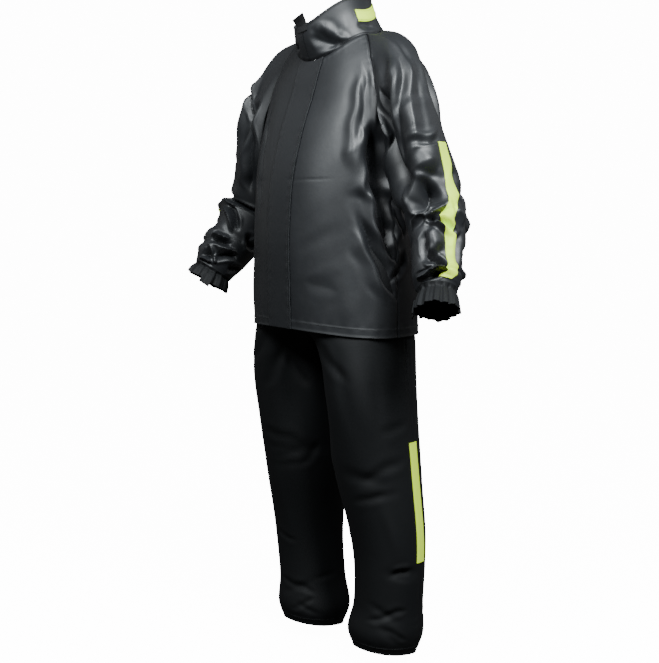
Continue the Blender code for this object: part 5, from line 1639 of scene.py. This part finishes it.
def stitch_tree(material, values):
    """A node tree that lays stitches of a set length, pitch and thickness along lines."""
    tree = bpy.data.node_groups.new("stitches_along_lines", "GeometryNodeTree")
    tree.interface.new_socket("Geometry", in_out="INPUT", socket_type="NodeSocketGeometry")
    for name, value in values.items():
        socket = tree.interface.new_socket(name, in_out="INPUT", socket_type="NodeSocketFloat")
        socket.default_value = value
    tree.interface.new_socket("Geometry", in_out="OUTPUT", socket_type="NodeSocketGeometry")
    add = tree.nodes.new
    start, end = add("NodeGroupInput"), add("NodeGroupOutput")
    to_curve, resample = add("GeometryNodeMeshToCurve"), add("GeometryNodeResampleCurve")
    resample.mode = "LENGTH"
    tangent, turn = add("GeometryNodeInputTangent"), add("FunctionNodeAlignRotationToVector")
    turn.axis = "Z"
    ball, scale = add("GeometryNodeMeshUVSphere"), add("ShaderNodeCombineXYZ")
    for name, value in (("Segments", 5), ("Rings", 4), ("Radius", 0.5)):
        ball.inputs[name].default_value = value
    instance, realize = add("GeometryNodeInstanceOnPoints"), add("GeometryNodeRealizeInstances")
    finish, smooth = add("GeometryNodeSetMaterial"), add("GeometryNodeSetShadeSmooth")
    finish.inputs["Material"].default_value = material
    for source, output, target, socket in (
        (start, "Geometry", to_curve, "Mesh"),
        (to_curve, "Curve", resample, "Curve"),
        (start, "Stitch pitch", resample, "Length"),
        (tangent, "Tangent", turn, "Vector"),
        (start, "Thread thickness", scale, "X"),
        (start, "Thread thickness", scale, "Y"),
        (start, "Stitch length", scale, "Z"),
        (resample, "Curve", instance, "Points"),
        (ball, "Mesh", instance, "Instance"),
        (turn, "Rotation", instance, "Rotation"),
        (scale, "Vector", instance, "Scale"),
        (instance, "Instances", realize, "Geometry"),
        (realize, "Geometry", smooth, "Geometry"),
        (smooth, "Geometry", finish, "Geometry"),
        (finish, "Geometry", end, "Geometry"),
    ):
        tree.links.new(source.outputs[output], target.inputs[socket])
    return tree


def make_stitches():
    """All the stitching, as one plain mesh."""
    sizes = bpy.context.scene.suit_sizes
    points, edges = [], []
    for line in stitch_lines():
        first = len(points)
        points += line.tolist()
        edges += [(first + i, first + i + 1) for i in range(len(line) - 1)]
    mesh = bpy.data.meshes.new("stitch_lines")
    mesh.from_pydata(points, edges, [])
    guide = add_object("stitch_lines", mesh)
    values = {
        "Stitch length": sizes.stitch_length,
        "Stitch pitch": sizes.stitch_pitch,
        "Thread thickness": sizes.thread_thickness,
    }
    tree = stitch_tree(finish_named("sewing_thread"), values)
    modifier = guide.modifiers.new("Stitches", "NODES")
    modifier.node_group = tree
    for item in tree.interface.items_tree:
        if item.in_out == "INPUT" and item.name in values:
            modifier[item.identifier] = values[item.name]
    graph = bpy.context.evaluated_depsgraph_get()
    made = bpy.data.meshes.new_from_object(guide.evaluated_get(graph))
    if not made.polygons:
        raise RuntimeError("the stitches came out empty")
    bpy.data.objects.remove(guide)
    made.name = "stitching"
    piece = add_object("stitching", made)
    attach(piece, BODY)


def turned_to(place, target):
    """The rotation with which a lamp or a camera at a place faces a target."""
    return (Vector(target) - Vector(place)).to_track_quat("-Z", "Y").to_euler()


def add_lamp(name, place, aim, size, power, colour):
    """A soft rectangular lamp that faces a height on the middle line."""
    lamp = bpy.data.lights.new(name, "AREA")
    lamp.shape = "RECTANGLE"
    lamp.size, lamp.size_y = size
    lamp.energy = power
    lamp.color = colour
    thing = add_object(name, lamp)
    thing.location = place
    thing.rotation_euler = turned_to(place, (0, 0, aim))


def make_floor(look, right):
    """The floor, which bends up into a backdrop behind the suit."""
    near, far, rise, bend, half_width, bend_steps = -12.0, 9.0, 9.0, 1.6, 14.0, 12
    profile = [(near, 0.0), (far - bend, 0.0)]
    for step in range(1, bend_steps + 1):
        turn = math.pi / 2 * step / bend_steps
        profile.append((far - bend + bend * math.sin(turn), bend * (1 - math.cos(turn))))
    profile.append((far, rise))
    points = []
    for along, height in profile:
        for across in (-half_width, half_width):
            x, y = look * along + right * across
            points.append((x, y, height - ORIGIN_HEIGHT))
    faces = [(a, a + 1, a + 3, a + 2) for a in range(0, len(points) - 2, 2)]
    mesh = bpy.data.meshes.new("studio_floor")
    mesh.from_pydata(points, [], faces)
    mesh.materials.append(finish_named("studio_floor"))
    mesh.shade_smooth()
    floor = add_object("studio_floor", mesh)
    # The white sweep neither mirrors in the cloth nor lights it, as on a cut-out studio picture.
    floor.visible_glossy = False
    floor.visible_diffuse = False


def make_stage():
    """Floor, backdrop, lamps and the camera at the photograph's angle."""
    stage = bpy.context.scene.suit_stage
    azimuth = math.radians(stage.azimuth)
    look = np.array([-math.sin(azimuth), math.cos(azimuth)])
    right = np.array([math.cos(azimuth), math.sin(azimuth)])
    make_floor(look, right)

    world = bpy.data.worlds.new("studio")
    world.use_nodes = True
    backdrop = world.node_tree.nodes["Background"]
    backdrop.inputs["Color"].default_value = (1, 1, 1, 1)
    backdrop.inputs["Strength"].default_value = stage.sky_strength
    bpy.context.scene.world = world

    for name, row in LAMPS.items():
        lamp = dict(zip(LAMP_COLUMNS, row))
        x, y = right * lamp["right"] - look * lamp["ahead"]
        size, power = (lamp["wide"], lamp["tall"]), getattr(stage, f"{name}_power")
        add_lamp(f"{name}_lamp", (x, y, lamp["up"]), lamp["aim"], size, power, lamp["colour"])

    camera = bpy.data.cameras.new("camera")
    camera.lens = stage.lens
    camera.sensor_width = 36.0
    camera.clip_end = 60.0
    eye = add_object("camera", camera)
    beside = -right * stage.side_step
    x, y = beside - look * stage.distance
    eye.location = (x, y, stage.eye_height)
    eye.rotation_euler = turned_to(eye.location, (*beside, stage.aim_height))
    bpy.context.scene.camera = eye


def length_setting(name, description, default):
    """A setting in metres."""
    return FloatProperty(name=name, description=description, default=default, unit="LENGTH")


def share_setting(name, description, default):
    """A setting without a unit, shown as a slider."""
    return FloatProperty(name=name, description=description, default=default, subtype="FACTOR")


def colour_setting(name, description, default):
    """A colour."""
    return FloatVectorProperty(
        name=name, description=description, default=default, subtype="COLOR", min=0, max=1
    )


def number_setting(name, description, default):
    """A plain number."""
    return FloatProperty(name=name, description=description, default=default)


class SuitSizes(bpy.types.PropertyGroup):
    """Sizes of the sewing"""

    pucker: length_setting("Pucker", "Height of the puckers beside a seam", 0.0007)
    stitch_inset: length_setting("Stitch inset", "How far the flap's stitches lie from its edge", 0.006)
    stitch_length: length_setting("Stitch length", "Length of one stitch", 0.0032)
    stitch_pitch: length_setting("Stitch pitch", "From one stitch to the next", 0.0043)
    thread_thickness: length_setting("Thread thickness", "Thickness of the thread", 0.0008)


class SuitFinish(bpy.types.PropertyGroup):
    """Colours and finishes"""

    cloth_colour: colour_setting("Cloth", "Colour of the coated cloth", (0.0060, 0.0071, 0.0090))
    cloth_roughness: share_setting("Cloth roughness", "How dull the jacket's coating is", 0.52)
    # Painted shade: the trousers' and cuffs' cloth is the jacket's, darkened and dulled by this share.
    trouser_shade_share: share_setting(
        "Trouser share", "How light and glossy trousers and cuffs are against the jacket", 0.44
    )
    cloth_gloss: share_setting("Cloth gloss", "How strongly the coating reflects", 0.80)
    tape_colour: colour_setting("Tape", "Colour of the bright tape", (0.62, 0.88, 0.045))
    # The tape's painted glow, which shines whatever the lamps, standing in for its fluorescence.
    tape_painted_glow: share_setting("Tape glow", "How strongly the bright tape fluoresces", 0.5)
    thread_colour: colour_setting("Thread", "Colour of the sewing thread", (0.020, 0.021, 0.023))


class SuitStage(bpy.types.PropertyGroup):
    """Camera, floor and lamps"""

    azimuth: number_setting(
        "Azimuth", "Camera's angle from the front to the suit's left, in degrees", 50.0
    )
    distance: length_setting("Distance", "Camera to the suit's middle line", 3.2)
    side_step: length_setting("Side step", "How far left the camera stands and looks", 0.0156)
    eye_height: length_setting("Eye height", "Camera's height over the origin", -0.25)
    aim_height: length_setting("Aim height", "Height that the camera looks at", -0.65)
    lens: number_setting("Lens", "Focal length in millimetres", 72.46)
    floor_colour: colour_setting("Floor", "Colour of the floor", (0.86, 0.86, 0.86))
    floor_glow: number_setting("Floor glow", "How white the floor shines", 14.0)
    sky_strength: number_setting("Sky", "Brightness of the surroundings", 0.06)
    key_power: number_setting("Key", "Power of the main lamp in watts", 148.0)
    left_power: number_setting("Left", "Power of the lamp on the left in watts", 66.0)
    fill_power: number_setting("Fill", "Power of the lamp behind on the left in watts", 4.0)
    rim_power: number_setting("Rim", "Power of the lamp behind on the right in watts", 6.0)


class SUIT_OT_fronts(bpy.types.Operator):
    """Make the two jacket fronts"""

    bl_idname = "suit.fronts"
    bl_label = "Jacket fronts"

    def execute(self, context):
        make_fronts()
        return {"FINISHED"}


class SUIT_OT_back(bpy.types.Operator):
    """Make the jacket back"""

    bl_idname = "suit.back"
    bl_label = "Jacket back"

    def execute(self, context):
        make_back()
        return {"FINISHED"}


class SUIT_OT_flap(bpy.types.Operator):
    """Make the storm flap"""

    bl_idname = "suit.flap"
    bl_label = "Storm flap"

    def execute(self, context):
        make_flap()
        return {"FINISHED"}


class SUIT_OT_collar(bpy.types.Operator):
    """Make the collar, its strip and its hook tape"""

    bl_idname = "suit.collar"
    bl_label = "Collar"

    def execute(self, context):
        make_collar()
        make_collar_trims()
        return {"FINISHED"}


class SUIT_OT_sleeves(bpy.types.Operator):
    """Make the sleeves and their strips"""

    bl_idname = "suit.sleeves"
    bl_label = "Sleeves"

    def execute(self, context):
        make_sleeves()
        make_sleeve_strips()
        return {"FINISHED"}


class SUIT_OT_cuffs(bpy.types.Operator):
    """Make the cuffs and their tabs"""

    bl_idname = "suit.cuffs"
    bl_label = "Cuffs"

    def execute(self, context):
        make_cuffs()
        make_cuff_tabs()
        return {"FINISHED"}


class SUIT_OT_trousers(bpy.types.Operator):
    """Make the trousers and their strips"""

    bl_idname = "suit.trousers"
    bl_label = "Trousers"

    def execute(self, context):
        make_trousers()
        make_leg_strips()
        return {"FINISHED"}


class SUIT_OT_waistband(bpy.types.Operator):
    """Make the waistband"""

    bl_idname = "suit.waistband"
    bl_label = "Waistband"

    def execute(self, context):
        make_waistband()
        return {"FINISHED"}


class SUIT_OT_stitches(bpy.types.Operator):
    """Lay the stitches"""

    bl_idname = "suit.stitches"
    bl_label = "Stitches"

    def execute(self, context):
        make_stitches()
        return {"FINISHED"}


class SUIT_OT_stage(bpy.types.Operator):
    """Make the floor, the lamps and the camera"""

    bl_idname = "suit.stage"
    bl_label = "Stage"

    def execute(self, context):
        make_stage()
        return {"FINISHED"}


OPERATORS = (
    SUIT_OT_stage,
    SUIT_OT_fronts,
    SUIT_OT_back,
    SUIT_OT_flap,
    SUIT_OT_collar,
    SUIT_OT_sleeves,
    SUIT_OT_cuffs,
    SUIT_OT_trousers,
    SUIT_OT_waistband,
    SUIT_OT_stitches,
)


class SUIT_PT_panel(bpy.types.Panel):
    """Lists what the rain suit is made of"""

    bl_idname = "SUIT_PT_panel"
    bl_label = "Rain suit"
    bl_space_type = "VIEW_3D"
    bl_region_type = "UI"
    bl_category = "Rain suit"

    def draw(self, context):
        for group in (context.scene.suit_sizes, context.scene.suit_finish, context.scene.suit_stage):
            box = self.layout.box()
            for key in group.__annotations__:
                box.prop(group, key)
        for operator in OPERATORS:
            self.layout.operator(operator.bl_idname)


CLASSES = (SuitSizes, SuitFinish, SuitStage, *OPERATORS, SUIT_PT_panel)


def register():
    """Adds the classes and their settings."""
    for item in CLASSES:
        bpy.utils.register_class(item)
    bpy.types.Scene.suit_sizes = PointerProperty(type=SuitSizes)
    bpy.types.Scene.suit_finish = PointerProperty(type=SuitFinish)
    bpy.types.Scene.suit_stage = PointerProperty(type=SuitStage)


def unregister():
    """Takes away what register added."""
    del bpy.types.Scene.suit_sizes
    del bpy.types.Scene.suit_finish
    del bpy.types.Scene.suit_stage
    for item in reversed(CLASSES):
        bpy.utils.unregister_class(item)


def main():
    """Registers the settings and builds everything."""
    register()
    for operator in OPERATORS:
        name = operator.bl_idname.split(".")[1]
        getattr(bpy.ops.suit, name)()


if __name__ == "__main__":
    main()
